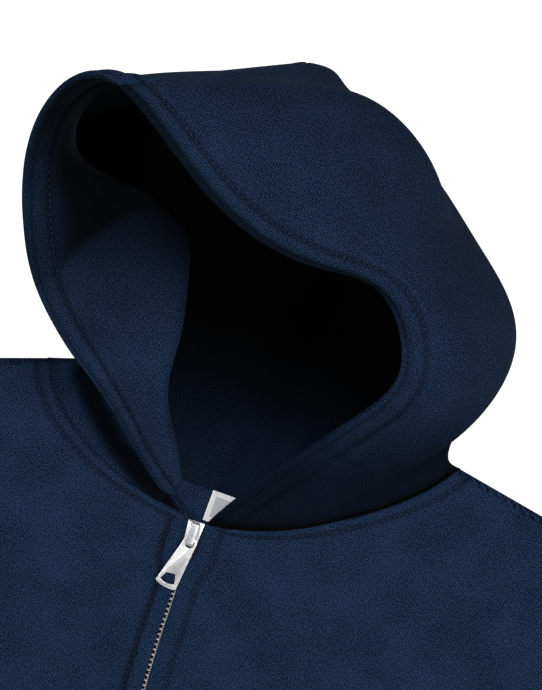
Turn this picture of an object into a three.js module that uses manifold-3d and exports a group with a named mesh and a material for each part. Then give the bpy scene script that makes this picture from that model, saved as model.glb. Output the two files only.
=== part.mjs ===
// A zip-up hooded sweatshirt that lies on a table, front up, with its hood propped open.
// Millimetres. X runs to the right as it is looked at, Y from the hem to the hood, Z up from the table.
// Places in plan are measured from the middle of the line through the two neck points.
// Left and right are those of the one who looks at it, and a side is -1 on the left and 1 on the right.
import * as THREE from 'three';
import Module from 'manifold-3d';
import { mergeVertices } from 'three/addons/utils/BufferGeometryUtils.js';

const wasm = await Module();
wasm.setup();

// Cloth and how it lies
const cloth = 2.2;
const hoodCloth = 3;
const hemExtra = 1;
const seamGap = 0.3;
const layerGap = 3;
const frontLow = cloth + layerGap;
const frontHigh = frontLow + cloth;
const foldRadius = frontHigh / 2;
const foldInside = foldRadius - cloth;
const foldTurns = [0, 35, 65, 90].map(THREE.MathUtils.degToRad);

// Neck, shoulder, armhole and side, in plan
const neckHalf = 103;
const neckFrontDrop = 57.5;
const neckBackDrop = 41;
const shoulderX = 250;
const shoulderY = -39;
const hemY = -635;
const waistHeight = 65;
const armholeTable = [
  { x: 285, y: -300 },
  { x: 262, y: -236 },
  { x: 246, y: -165 },
  { x: 243, y: -100 },
  { x: shoulderX, y: shoulderY },
];
const sideTable = [
  { x: 256, y: hemY },
  { x: 272, y: -585 },
  { x: 281, y: -480 },
  { x: 284, y: -380 },
  { x: 285, y: -300 },
];

// Zip
const zipTable = [
  { x: -6, y: -700 },
  { x: -11, y: -450 },
  { x: -17, y: -260 },
  { x: -17.2, y: -143.5 },
  { x: -15.3, y: -95 },
  { x: -13.4, y: -58 },
];
const zipTop = -57.4;
const edgeGap = 0.9;
const sliderEdgeGap = 4.6;
const edgeOpensAt = -84;
const edgeOpenAt = -72;
const placketWide = 14;
const placketRise = 0.7;
const bandWide = 6.5;
const bandRise = 0.8;
const chainLow = 3.6;
const chainHigh = 5.6;
const chainHalf = 2.8;
const chainTop = -64.2;
const tapeThick = 0.9;
const tapeInner = 3.1;
const tapeOuter = 15;
const tapeTopDrop = 2;
const boxHeight = 10;
const boxLow = 2.6;

// Slider and pull tab, measured along and across the slider from the pull's axle
const axle = { x: -13.7, y: -68, z: 9 };
const sliderTurn = THREE.MathUtils.degToRad(-2.8);
const sliderAbove = 9.3;
const sliderBelow = 3.2;
const sliderTopHalf = 4.2;
const sliderBottomHalf = 3.3;
const lowerPlate = { low: 2.5, high: 3.3 };
const upperPlate = { low: 5.9, high: 6.9 };
const postHalf = 1.3;
const postDeep = 3.6;
const bridgeHalf = 1.75;
const bridgeLow = 10.2;
const bridgeThick = 1.3;
const tabThick = 1.1;
const tabBarHalf = 0.65;
const slotHalf = 2.1;
const slotEnd = 3.9;

// Label
const labelWide = 19;
const labelLong = 15.4;
const labelThick = 1;
const labelCentre = { x: -0.7, y: -50.2 };
const labelTurn = THREE.MathUtils.degToRad(-5);

// Sleeve lines, from the armhole to the cuff seam
const overarmTable = [
  { x: shoulderX, y: shoulderY },
  { x: 292, y: -56 },
  { x: 333, y: -88 },
  { x: 384, y: -147 },
  { x: 480, y: -261 },
  { x: 610, y: -416 },
  { x: 630, y: -446 },
];
const underarmTable = [
  { x: 285, y: -300 },
  { x: 318, y: -334 },
  { x: 372, y: -382 },
  { x: 452, y: -448 },
  { x: 528, y: -507 },
  { x: 552, y: -512 },
];
const sleeveRings = [0, 0.05, 0.12, 0.21, 0.31, 0.42, 0.54, 0.66, 0.78, 0.88, 0.95, 1];
const cuffLong = 70;
const cuffSeamHalf = 50;
const cuffEndHalf = 44;
const waistSeamHalf = 250;
const waistEndHalf = 238;
const ribPitch = 5;
const ribRise = 0.7;

// Hood: its middle surface, a row for each level from the neck up. A row's five stops are its front edge, the
// crest where it rolls out, the place under the crest, the widest part and the quarter on the way to the back.
const hoodLeftTable = [
  [[-32, -48.5, 13], [-27, -47, 18], [-44, -22, 24], [-75, 9, 11], [-63, -3, 4]],
  [[-69, -12, 44], [-41, -11, 56], [-58, 12, 38], [-85, 27, 18], [-77, 29, 5]],
  [[-92, 8, 64], [-44.5, 21, 80], [-67, 39, 52], [-97, 47, 26], [-84, 62, 5]],
  [[-112, 31, 86], [-48, 47, 94], [-72, 61, 62], [-107, 65, 36], [-88, 91, 9]],
  [[-123, 55, 108], [-62, 78, 96], [-93, 85, 66], [-115, 85, 50], [-88, 119, 26]],
  [[-129, 86, 128], [-108, 90, 104], [-114, 97, 80], [-120, 104, 66], [-87, 132, 52]],
  [[-122, 117.5, 146], [-111, 120, 132], [-106, 125, 116], [-105, 129, 100], [-76, 141, 88]],
];
const hoodRightTable = [
  [[16, -24.5, 34], [52, -26, 34], [78, -7, 30], [93, 10, 16], [47, 4, 4]],
  [[37.5, 2, 62], [77, 1, 58], [100, 26, 44], [97, 54, 14], [49, 55, 4]],
  [[55, 25, 92], [85, 27, 92], [109, 55.5, 62], [96, 88, 18], [46, 103, 4]],
  [[57, 48, 116], [77, 54, 118], [95.5, 78.5, 76], [76, 111, 28], [32, 134, 9]],
  [[37, 72, 134], [55, 79, 134], [68.5, 102, 90], [50, 132.5, 48], [18, 149, 26]],
  [[2, 73.5, 148], [24, 95, 148], [48, 130, 102], [23.5, 146, 72], [2, 159, 50]],
  [[-46.5, 91.5, 155], [-20, 113, 158], [3.5, 147.5, 128], [4.5, 154, 100], [-4.5, 160.5, 84]],
];
const hoodBackTable = [
  [-10, 6, 2],
  [-16, 53, 2],
  [-22, 94, 2],
  [-22, 123, 4],
  [-22, 146, 14],
  [-20, 156, 42],
  [-20, 163, 70],
];
const hoodCrownTable = [
  [-96, 127, 150],
  [-76, 132.5, 148],
  [-59, 138.5, 140],
  [-45.5, 147, 126],
  [-30.5, 154.5, 110],
  [-18, 163, 92],
];
// The left side's lapel: above a crease the wall sinks behind it. The crease is two lines in plan that meet at a
// corner, and the depth grows over a reach past either line.
const lapelCorner = new THREE.Vector2(-71, 82);
const lapelLines = [
  { turn: THREE.MathUtils.degToRad(142), reach: 16 },
  { turn: THREE.MathUtils.degToRad(68), reach: 12 },
];
const lapelDeep = 24;
const lapelPlaces = { start: 0.25, full: 0.6, fades: 1.7, ends: 2.3 };
const lapelLevels = { start: 2, full: 3.4, fades: 4.8, ends: 6.4 };
const hoodNeckHeight = 6.7;
const hoodNeckInset = 0.5;
const hoodFlat = 4;
const hoodSpans = 5;
const hoodFloor = hoodCloth / 2;
const hoodEdgeStops = [0, 5, 13, 15];
const hoodFrontShares = [0.18, 0.38, 0.58, 0.79, 1];
const hoodFrontPlace = 2.55;
const hoodTurnPlaces = [2.84, 2.95, 3.05, 3.16];
const hoodBackPlaces = [3.35, 3.6, 3.9, 4.2, 4.47, 4.74];
const hoodBackEnd = 4.99;
const hoodTipNotch = 0.1;
const hoodRows = 22;
const hoodSeamShare = 0.012;

const fleece = { color: 0x1b2b44, roughness: 0.95, metalness: 0 };
const rib = { color: 0x19283f, roughness: 0.95, metalness: 0 };
const metal = { color: 0xc9ccd0, roughness: 0.3, metalness: 1 };
const tape = { color: 0x16202f, roughness: 0.8, metalness: 0 };
const labelWhite = { color: 0xf2f2f2, roughness: 0.7, metalness: 0 };

const hoodie = new THREE.Group();

function addMesh(name, geometry, look) {
  const mesh = new THREE.Mesh(geometry, new THREE.MeshStandardMaterial(look));
  mesh.name = name;
  hoodie.add(mesh);
  return mesh;
}

// How finely the curves are sampled
const zipSamples = 120;
const neckSpans = 24;
const outlineSamples = 60;

const lerp = THREE.MathUtils.lerp;
const smooth = THREE.MathUtils.smoothstep;
const planCurve = (table) => new THREE.SplineCurve(table.map((row) => new THREE.Vector2(row.x, row.y)));
const armhole = planCurve(armholeTable);
const sideSeam = planCurve(sideTable);
const zipLine = planCurve(zipTable);
const overarm = planCurve(overarmTable);
const underarm = planCurve(underarmTable);

// Signed volume of a closed mesh, from the tetrahedra between its triangles and the origin.
function signedVolume(positions, indices) {
  const corner = (index) => new THREE.Vector3().fromArray(positions, index * 3);
  let volume = 0;
  for (let i = 0; i < indices.length; i += 3) {
    const [a, b, c] = [corner(indices[i]), corner(indices[i + 1]), corner(indices[i + 2])];
    volume += a.dot(b.cross(c)) / 6;
  }
  return volume;
}

// Closes an outer and an inner net of points into one wall. A net is a list of rows, and a ring's rows close up.
function wallGeometry(outer, inner, isRing = false) {
  const rows = outer.length;
  const columns = outer[0].length;
  const spans = isRing ? columns : columns - 1;
  const positions = [...outer.flat(), ...inner.flat()].flatMap((point) => point.toArray());
  const indices = [];
  const outerAt = (row, column) => row * columns + (column % columns);
  const innerAt = (row, column) => rows * columns + outerAt(row, column);
  const quad = (a, b, c, d) => indices.push(a, b, c, a, c, d);
  for (let row = 0; row < rows - 1; row += 1) {
    for (let i = 0; i < spans; i += 1) {
      quad(outerAt(row, i), outerAt(row, i + 1), outerAt(row + 1, i + 1), outerAt(row + 1, i));
      quad(innerAt(row, i), innerAt(row + 1, i), innerAt(row + 1, i + 1), innerAt(row, i + 1));
    }
  }
  const last = rows - 1;
  for (let i = 0; i < spans; i += 1) {
    quad(innerAt(0, i), innerAt(0, i + 1), outerAt(0, i + 1), outerAt(0, i));
    quad(outerAt(last, i), outerAt(last, i + 1), innerAt(last, i + 1), innerAt(last, i));
  }
  if (!isRing) {
    for (let row = 0; row < last; row += 1) {
      quad(outerAt(row, 0), outerAt(row + 1, 0), innerAt(row + 1, 0), innerAt(row, 0));
      quad(innerAt(row, spans), innerAt(row + 1, spans), outerAt(row + 1, spans), outerAt(row, spans));
    }
  }
  if (signedVolume(positions, indices) < 0) indices.reverse();
  const geometry = new THREE.BufferGeometry();
  geometry.setAttribute('position', new THREE.Float32BufferAttribute(positions, 3));
  geometry.setIndex(indices);
  geometry.computeVertexNormals();
  return geometry;
}

// Plan of the folded edge of a pressed garment: how far in from the edge, and how far down from the flat face,
// the outer and the inner side of the cloth lie after a turn about the fold.
function foldAt(turn) {
  const clearance = seamGap / 2;
  const outerUp = Math.max(foldRadius * Math.cos(turn), clearance);
  const innerUp = Math.max(foldInside * Math.cos(turn), clearance);
  return {
    outerIn: foldRadius - foldRadius * Math.sin(turn),
    innerIn: foldRadius - foldInside * Math.sin(turn),
    outerDown: foldRadius - outerUp,
    innerDown: foldInside - innerUp,
  };
}

// The neckline falls as a soft curve from the neck point to the zip, deeper on the right, and as a half ellipse
// behind.
function neckFrontY(x) {
  const share = Math.min(Math.abs(x) / neckHalf, 1);
  const fall = x < 0 ? (1 - share ** 2) ** 0.6 : (1 - share ** 1.5) ** 0.75;
  return -neckFrontDrop * fall;
}
const neckBackY = (x) => -neckBackDrop * Math.sqrt(Math.max(0, 1 - (x / neckHalf) ** 2));

// The zip's x at a height in plan, found along its curve.
function zipX(y) {
  const samples = zipLine.getPoints(zipSamples);
  const next = samples.findIndex((point) => point.y >= y);
  if (next <= 0) return samples[next === 0 ? 0 : samples.length - 1].x;
  const [a, b] = [samples[next - 1], samples[next]];
  return lerp(a.x, b.x, (y - a.y) / (b.y - a.y));
}
function zipEdgeX(side, y) {
  return zipX(y) + side * lerp(edgeGap, sliderEdgeGap, smooth(y, edgeOpensAt, edgeOpenAt));
}

// The front neckline of a side as a curve from the zip to the neck point, its stops closer near the neck point.
function neckCurve(side) {
  const startX = zipEdgeX(side, zipTop);
  const points = [];
  for (let i = 0; i <= neckSpans; i += 1) {
    const x = lerp(startX, side * neckHalf, Math.sin((i / neckSpans) * (Math.PI / 2)));
    points.push(new THREE.Vector2(x, neckFrontY(x)));
  }
  return new THREE.SplineCurve(points);
}
const neckCurves = { [-1]: neckCurve(-1), 1: neckCurve(1) };
const fromEnd = (curve, distance) => curve.getPointAt(1 - distance / curve.getLength());

// A front's inner boundary: 0 to 1 up the zip edge, 1 to 2 round the neckline. Its outer boundary: 0 to 1 up the
// side seam, 1 to 2 up the armhole.
function innerPlace(side, place) {
  if (place > 1) return neckCurves[side].getPointAt(place - 1);
  const top = neckFrontY(zipEdgeX(side, zipTop));
  const y = lerp(hemY, top, place);
  return new THREE.Vector2(zipEdgeX(side, y), y);
}
function outerPlace(side, place) {
  const point = place > 1 ? armhole.getPointAt(place - 1) : sideSeam.getPointAt(place);
  return new THREE.Vector2(side * point.x, point.y);
}

const frontRows = [
  { inner: 0, outer: 0, folded: 1 },
  { inner: 0.16, outer: 0.24, folded: 1 },
  { inner: 0.32, outer: 0.5, folded: 1 },
  { inner: 0.46, outer: 0.75, folded: 1 },
  { inner: 0.58, outer: 0.97, folded: 1 },
  { inner: 0.6, outer: 1, folded: 0 },
  { inner: 0.67, outer: 1.1, folded: 0 },
  { inner: 0.75, outer: 1.2, folded: 0 },
  { inner: 0.83, outer: 1.3, folded: 0 },
  { inner: 0.9, outer: 1.39, folded: 0 },
  { inner: 0.95, outer: 1.45, folded: 0 },
  { inner: 0.965, outer: 1.47, folded: 0 },
  { inner: 0.98, outer: 1.49, folded: 0 },
  { inner: 1, outer: 1.52, folded: 0 },
  { inner: 1.12, outer: 1.58, folded: 0 },
  { inner: 1.27, outer: 1.65, folded: 0 },
  { inner: 1.42, outer: 1.72, folded: 0 },
  { inner: 1.56, outer: 1.79, folded: 0 },
  { inner: 1.68, outer: 1.84, folded: 0 },
  { inner: 1.79, outer: 1.89, folded: 0 },
  { inner: 1.88, outer: 1.93, folded: 0 },
  { inner: 1.94, outer: 1.96, folded: 0 },
];
const frontInnerStops = [0, 3, bandWide, 8.5, placketWide, 24];
const frontMiddleStops = [0.25, 0.55, 0.85];

// How far the cloth is lifted beside the zip, at a distance from its edge.
const placketLift = (distance) => placketRise * (1 - smooth(distance, bandWide, placketWide));

// A front: rows from its inner to its outer boundary. The side and the shoulder turn down over the fold, the
// placket is lifted over the zip, and the neck band is raised outside.
function frontNets(side) {
  const nets = { outer: [], inner: [] };
  const addRow = (layer, start, end, options) => {
    const length = start.distanceTo(end);
    const along = (distance) => start.clone().lerp(end, distance / length);
    const row = [];
    frontInnerStops.forEach((distance) => {
      const lift = options.placket * placketLift(distance);
      const band = layer === 'outer' && distance <= bandWide ? options.band * bandRise : 0;
      row.push({ plan: along(distance), lift: lift + band });
    });
    const lastInner = frontInnerStops.at(-1);
    frontMiddleStops.forEach((share) => {
      row.push({ plan: along(lerp(lastInner, length - foldRadius, share)), lift: 0 });
    });
    foldTurns.forEach((turn) => {
      const fold = foldAt(turn);
      const flatIn = fold.outerIn;
      const foldIn = layer === 'outer' ? fold.outerIn : fold.innerIn;
      const down = layer === 'outer' ? fold.outerDown : fold.innerDown;
      row.push({
        plan: along(length - lerp(flatIn, foldIn, options.folded)),
        lift: -options.folded * down,
      });
    });
    const level = layer === 'outer' ? frontHigh : frontLow;
    nets[layer].push(row.map(({ plan, lift }) => {
      return new THREE.Vector3(plan.x, plan.y, level + lift - options.down);
    }));
  };
  ['outer', 'inner'].forEach((layer) => {
    frontRows.forEach(({ inner, outer, folded }) => {
      const placket = inner <= 1 ? 1 : 0;
      const options = { folded, placket, band: 1 - placket, down: 0 };
      addRow(layer, innerPlace(side, inner), outerPlace(side, outer), options);
    });
    foldTurns.forEach((turn) => {
      const fold = foldAt(turn);
      const distance = layer === 'outer' ? fold.outerIn : fold.innerIn;
      const down = layer === 'outer' ? fold.outerDown : fold.innerDown;
      const end = fromEnd(armhole, distance);
      const options = { folded: 0, placket: 0, band: Math.cos(turn), down };
      addRow(layer, fromEnd(neckCurves[side], distance), new THREE.Vector2(side * end.x, end.y), options);
    });
  });
  return nets;
}

for (const [side, name] of [[-1, 'front_left_panel'], [1, 'front_right_panel']]) {
  const nets = frontNets(side);
  addMesh(name, wallGeometry(nets.outer, nets.inner), fleece);
}

// The back: one net from side to side, its top edge along the neckline and the shoulders. It lies on the table,
// and its sides and shoulders turn up over the fold.
function backTopY(x) {
  if (Math.abs(x) < neckHalf) return neckBackY(x);
  return shoulderY * ((Math.abs(x) - neckHalf) / (shoulderX - neckHalf));
}
const backSideRows = [0, 0.12, 0.34, 0.555];
const backArmholeRows = [0.5621, 0.61, 0.66, 0.71, 0.76, 0.81, 0.86, 0.91, 0.96];
const neckShares = [0, 0.18, 0.36, 0.53, 0.68, 0.8, 0.89, 0.95, 0.985];
const shoulderShares = [0, 0.35, 0.75];

function outlineX(place) {
  const y = lerp(hemY, shoulderY, place);
  const curve = y < armholeTable[0].y ? sideSeam : armhole;
  const samples = curve.getPoints(outlineSamples);
  const next = Math.max(1, samples.findIndex((point) => point.y >= y - 1e-6));
  const [a, b] = [samples[next - 1], samples[next]];
  return lerp(a.x, b.x, (y - a.y) / (b.y - a.y));
}

function backNets() {
  const halfStops = [
    ...neckShares.map((share) => ({ share: (share * neckHalf) / shoulderX, turn: 0, edge: 0, shoulder: 0 })),
    ...shoulderShares.map((share) => ({ share: lerp(neckHalf / shoulderX, 1, share), edge: 0, shoulder: 1 })),
  ];
  const foldStops = foldTurns.map((turn) => ({ turn, edge: 1, shoulder: 1 }));
  const right = [...halfStops, ...foldStops];
  const stops = [
    ...right.slice(1).reverse().map((stop) => ({ ...stop, side: -1 })),
    ...right.map((stop) => ({ ...stop, side: 1 })),
  ];
  const nets = { outer: [], inner: [] };
  ['outer', 'inner'].forEach((layer) => {
    const level = layer === 'outer' ? 0 : cloth;
    const addRow = (place, foldedSide, topTurn) => {
      const top = topTurn === null ? null : foldAt(topTurn);
      const row = stops.map((stop) => {
        const topIn = top && (layer === 'outer' || !stop.shoulder ? top.outerIn : top.innerIn);
        const usedPlace = top ? 1 : place;
        const half = outlineX(usedPlace);
        let x = stop.edge ? half : stop.share * half;
        let up = 0;
        if (stop.edge) {
          const fold = foldAt(stop.turn);
          x -= foldedSide && layer === 'inner' ? fold.innerIn : fold.outerIn;
          up += foldedSide * (layer === 'outer' ? fold.outerDown : fold.innerDown);
        }
        const planTop = backTopY(stop.edge ? x : stop.share * shoulderX);
        const y = top ? planTop - topIn : lerp(hemY, planTop, place);
        if (top && stop.shoulder) up += layer === 'outer' ? top.outerDown : top.innerDown;
        return new THREE.Vector3(stop.side * x, y, level + up);
      });
      nets[layer].push(row);
    };
    backSideRows.forEach((place) => addRow(place, 1, null));
    backArmholeRows.forEach((place) => addRow(place, 0, null));
    foldTurns.forEach((turn) => addRow(1, 0, turn));
  });
  return nets;
}
const back = backNets();
addMesh('back_panel', wallGeometry(back.outer, back.inner), fleece);

// A flattened tube's section between two places in plan: over the top from the first to the second, round the
// fold and back underneath. The bend moves each stop in plan, and the lift raises the outer top only.
function tubeSection(first, second, layer, topShares, bend = null, lift = () => 0) {
  const length = first.distanceTo(second);
  const points = [];
  const placeAt = (distance) => {
    const share = distance / length;
    const plan = first.clone().lerp(second, share);
    return bend ? plan.add(bend(share)) : plan;
  };
  const addPoint = (distance, height) => {
    const plan = placeAt(distance);
    points.push(new THREE.Vector3(plan.x, plan.y, height));
  };
  const radius = layer === 'outer' ? foldRadius : foldInside;
  const inset = foldRadius;
  const flat = length - 2 * inset;
  topShares.forEach((share) => {
    const raised = layer === 'outer' ? lift(share, flat) : 0;
    addPoint(inset + flat * share, foldRadius + radius + raised);
  });
  const turns = [45, 90, 135].map(THREE.MathUtils.degToRad);
  turns.forEach((turn) => {
    addPoint(length - inset + radius * Math.sin(turn), foldRadius + radius * Math.cos(turn));
  });
  [...topShares].reverse().forEach((share) => addPoint(inset + flat * share, foldRadius - radius));
  turns.forEach((turn) => addPoint(inset - radius * Math.sin(turn), foldRadius - radius * Math.cos(turn)));
  return points;
}

const sleeveShares = [0, 0.1, 0.2, 0.3, 0.4, 0.5, 0.62, 0.75, 0.88, 1];
const sleeveGap = 0.5;

// A sleeve: rings from the armhole seam to the cuff seam. The first follows the armhole's curve.
function sleeveNets(side) {
  const mirrored = (point) => new THREE.Vector2(side * point.x, point.y);
  const nets = { outer: [], inner: [] };
  sleeveRings.forEach((place, index) => {
    const start = underarm.getPointAt(place);
    const end = overarm.getPointAt(place);
    const away = index === 0 ? sleeveGap : 0;
    const chordStart = armhole.getPointAt(0);
    const chordEnd = armhole.getPointAt(1);
    const bend = (share) => {
      const curved = armhole.getPointAt(THREE.MathUtils.clamp(share, 0, 1));
      const straight = chordStart.clone().lerp(chordEnd, share);
      const weight = (1 - place) ** 4;
      const shift = curved.sub(straight).multiplyScalar(weight);
      shift.x += away;
      return new THREE.Vector2(side * shift.x, shift.y);
    };
    nets.outer.push(tubeSection(mirrored(start), mirrored(end), 'outer', sleeveShares, bend));
    nets.inner.push(tubeSection(mirrored(start), mirrored(end), 'inner', sleeveShares, bend));
  });
  return nets;
}

// Ribs: a ridge at each half pitch, a groove at each whole one.
function ribShares(width) {
  const count = Math.round(width / ribPitch);
  return Array.from({ length: 2 * count + 1 }, (_, index) => index / (2 * count));
}
const ribLift = (shares) => (share) => (shares.indexOf(share) % 2 === 1 ? ribRise : 0);

// A cuff: a ribbed flattened tube past the cuff seam.
function cuffNets(side) {
  const seamStart = underarm.getPointAt(1);
  const seamEnd = overarm.getPointAt(1);
  const middle = seamStart.clone().add(seamEnd).multiplyScalar(0.5);
  const across = seamEnd.clone().sub(seamStart).normalize();
  const down = new THREE.Vector2(across.y, -across.x);
  const shares = ribShares(2 * cuffSeamHalf - 2 * foldRadius);
  const nets = { outer: [], inner: [] };
  const ends = [{ place: seamGap, half: cuffSeamHalf }, { place: cuffLong, half: cuffEndHalf }];
  ends.forEach(({ place, half }) => {
    const centre = middle.clone().addScaledVector(down, place);
    const start = centre.clone().addScaledVector(across, -half);
    const end = centre.clone().addScaledVector(across, half);
    [start, end].forEach((point) => { point.x *= side; });
    nets.outer.push(tubeSection(start, end, 'outer', shares, null, ribLift(shares)));
    nets.inner.push(tubeSection(start, end, 'inner', shares));
  });
  return nets;
}

for (const [side, name] of [[-1, 'left'], [1, 'right']]) {
  const sleeve = sleeveNets(side);
  addMesh(`sleeve_${name}`, wallGeometry(sleeve.outer, sleeve.inner, true), fleece);
  const cuff = cuffNets(side);
  addMesh(`cuff_${name}`, wallGeometry(cuff.outer, cuff.inner, true), rib);
}

// The waistband: a ribbed strip from the left zip edge round the back to the right one.
function waistNets() {
  const nets = { outer: [], inner: [] };
  const levels = [
    { y: hemY - seamGap, half: waistSeamHalf },
    { y: hemY - waistHeight, half: waistEndHalf },
  ];
  levels.forEach(({ y, half }) => {
    ['outer', 'inner'].forEach((layer) => {
      const radius = layer === 'outer' ? foldRadius : foldInside;
      const row = [];
      const frontStrip = (side) => {
        const start = zipEdgeX(side, y);
        const end = side * (half - foldRadius);
        const shares = ribShares(waistSeamHalf - foldRadius);
        return shares.map((share, index) => {
          const x = lerp(start, end, share);
          const raised = layer === 'outer' && index % 2 === 1 ? ribRise : 0;
          const lift = placketLift(Math.abs(x - start)) + raised;
          return new THREE.Vector3(x, y, foldRadius + radius + lift);
        });
      };
      const sideTurn = (side) => [45, 90, 135].map((degrees) => {
        const turn = THREE.MathUtils.degToRad(degrees);
        const x = side * (half - foldRadius + radius * Math.sin(turn));
        return new THREE.Vector3(x, y, foldRadius + radius * Math.cos(turn));
      });
      row.push(...frontStrip(-1), ...sideTurn(-1));
      const backEnd = half - foldRadius;
      [-1, -0.5, 0, 0.5, 1].forEach((share) => {
        row.push(new THREE.Vector3(share * backEnd, y, foldRadius - radius));
      });
      row.push(...sideTurn(1).reverse(), ...frontStrip(1).reverse());
      nets[layer].push(row);
    });
  });
  return nets;
}
const waist = waistNets();
addMesh('waistband', wallGeometry(waist.outer, waist.inner), rib);

// Natural cubic spline through points at whole numbers: solves for the bends, then gives a place at any number.
function naturalSpline(points) {
  const count = points.length;
  const bends = points.map(() => new THREE.Vector3());
  const factor = new Array(count).fill(0);
  for (let i = 1; i < count - 1; i += 1) {
    const pull = points[i - 1].clone().addScaledVector(points[i], -2).add(points[i + 1]).multiplyScalar(6);
    const pivot = 4 - factor[i - 1];
    factor[i] = 1 / pivot;
    bends[i] = pull.sub(bends[i - 1]).divideScalar(pivot);
  }
  for (let i = count - 2; i > 0; i -= 1) bends[i].addScaledVector(bends[i + 1], -factor[i]);
  return (place) => {
    const i = Math.min(Math.floor(place), count - 2);
    const f = place - i;
    const g = 1 - f;
    return points[i].clone().multiplyScalar(g)
      .addScaledVector(points[i + 1], f)
      .addScaledVector(bends[i], (g ** 3 - g) / 6)
      .addScaledVector(bends[i + 1], (f ** 3 - f) / 6);
  };
}

// The hood's seam row: along the front neckline, round the neck point and along the back neckline, a little
// inside the body's edge. Place 0 is the zip, 3 the neck point and 5 the middle of the back. The turn is the
// angle by which the cloth has gone round the neck point, from facing up to facing down.
const neckPointPlace = 3;
const turnHalf = 0.16;
const tipClearance = 0.8;
const tipTurn = { x: -0.2, y: 1 };
function hoodTurn(place) {
  const share = (place - neckPointPlace + turnHalf) / (2 * turnHalf);
  return Math.PI * THREE.MathUtils.clamp(share, 0, 1);
}
function hoodNeckPoint(side, place, inset) {
  const turn = hoodTurn(place);
  const rise = (hoodNeckHeight - hoodFloor) / 2;
  const height = hoodFloor + rise + rise * Math.cos(turn);
  const nearTip = 1 - smooth(Math.abs(place - neckPointPlace), turnHalf, 3 * turnHalf);
  const away = new THREE.Vector2(side * tipTurn.x, tipTurn.y);
  const at = new THREE.Vector2();
  const inwards = new THREE.Vector2();
  if (place <= neckPointPlace) {
    const share = Math.min(Math.sin((place / neckPointPlace) * (Math.PI / 2)), 1);
    const heading = neckCurves[side].getTangentAt(share);
    at.copy(neckCurves[side].getPointAt(share));
    inwards.set(-side * heading.y, side * heading.x);
  } else {
    const behind = (place - neckPointPlace) / (hoodSpans - neckPointPlace);
    const angle = (1 - behind ** 2) * (Math.PI / 2);
    at.set(side * neckHalf * Math.sin(angle), neckBackY(neckHalf * Math.sin(angle)));
    inwards.set(-side * Math.sin(angle) * neckBackDrop, Math.cos(angle) * neckHalf);
  }
  const direction = inwards.normalize().lerp(away, nearTip).normalize();
  at.addScaledVector(direction, inset + tipClearance * nearTip);
  return new THREE.Vector3(at.x + side * rise * Math.sin(turn), at.y, height);
}

// Each level's section is one spline from the left edge round the back to the right edge. Each hoop is one
// spline from the left of the neck over the crown to the right of the neck, so both panels meet smoothly.
const toVector = (values) => new THREE.Vector3(...values);
const levelSplines = hoodLeftTable.map((leftRow, level) => {
  const left = leftRow.map(toVector);
  const right = hoodRightTable[level].map(toVector);
  return naturalSpline([...left, toVector(hoodBackTable[level]), ...right.reverse()]);
});
const crownSpline = naturalSpline(hoodCrownTable.map(toVector));

function hoopSpline(place) {
  const left = levelSplines.map((spline) => spline(place));
  const right = levelSplines.map((spline) => spline(2 * hoodSpans - place));
  const leftFoot = hoodNeckPoint(-1, place, hoodFlat);
  const rightFoot = hoodNeckPoint(1, place, hoodFlat);
  return naturalSpline([leftFoot, ...left, crownSpline(place), ...right.reverse(), rightFoot]);
}

// How far the left wall sinks behind the lapel's crease at a point of it.
function riseAndFall(value, range) {
  return smooth(value, range.start, range.full) * (1 - smooth(value, range.fades, range.ends));
}
function lapelSink(point, place, along) {
  const fromCorner = new THREE.Vector2(point.x, point.y).sub(lapelCorner);
  const past = lapelLines.map(({ turn, reach }) => {
    return smooth(fromCorner.x * Math.cos(turn) + fromCorner.y * Math.sin(turn), 0, reach);
  });
  return lapelDeep * Math.max(...past) * riseAndFall(place, lapelPlaces) * riseAndFall(along, lapelLevels);
}

// The cloth never sinks below the table: heights close to it are eased up to the least height.
function easeToFloor(point) {
  const above = point.z - hoodFloor;
  point.z = hoodFloor + 0.5 * (above + Math.sqrt(above ** 2 + 1));
  return point;
}

// Where along a hoop number a row has run a distance from its front edge.
const runStep = 0.01;
function placeAtDistance(pointAt, distance) {
  let run = 0;
  let place = 0;
  let before = pointAt(0);
  while (run < distance) {
    place += runStep;
    const next = pointAt(place);
    run += next.distanceTo(before);
    before = next;
  }
  return place;
}

// The hood's middle surface. Along runs from the left of the neck (0) over the crown to the right of the neck.
const hoodLevels = hoodLeftTable.length + 1;
function hoodPoint(place, along) {
  const point = hoopSpline(place)(along);
  point.z -= lapelSink(point, place, along);
  return easeToFloor(point);
}
const slopeStep = 0.03;
function hoodOutwards(place, along) {
  const before = Math.max(place - slopeStep, 0);
  const low = Math.max(along - slopeStep, 0);
  const high = Math.min(along + slopeStep, 2 * hoodLevels);
  const acrossHoops = hoodPoint(place + slopeStep, along).sub(hoodPoint(before, along));
  const alongHoop = hoodPoint(place, high).sub(hoodPoint(place, low));
  return alongHoop.cross(acrossHoops).normalize();
}

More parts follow.
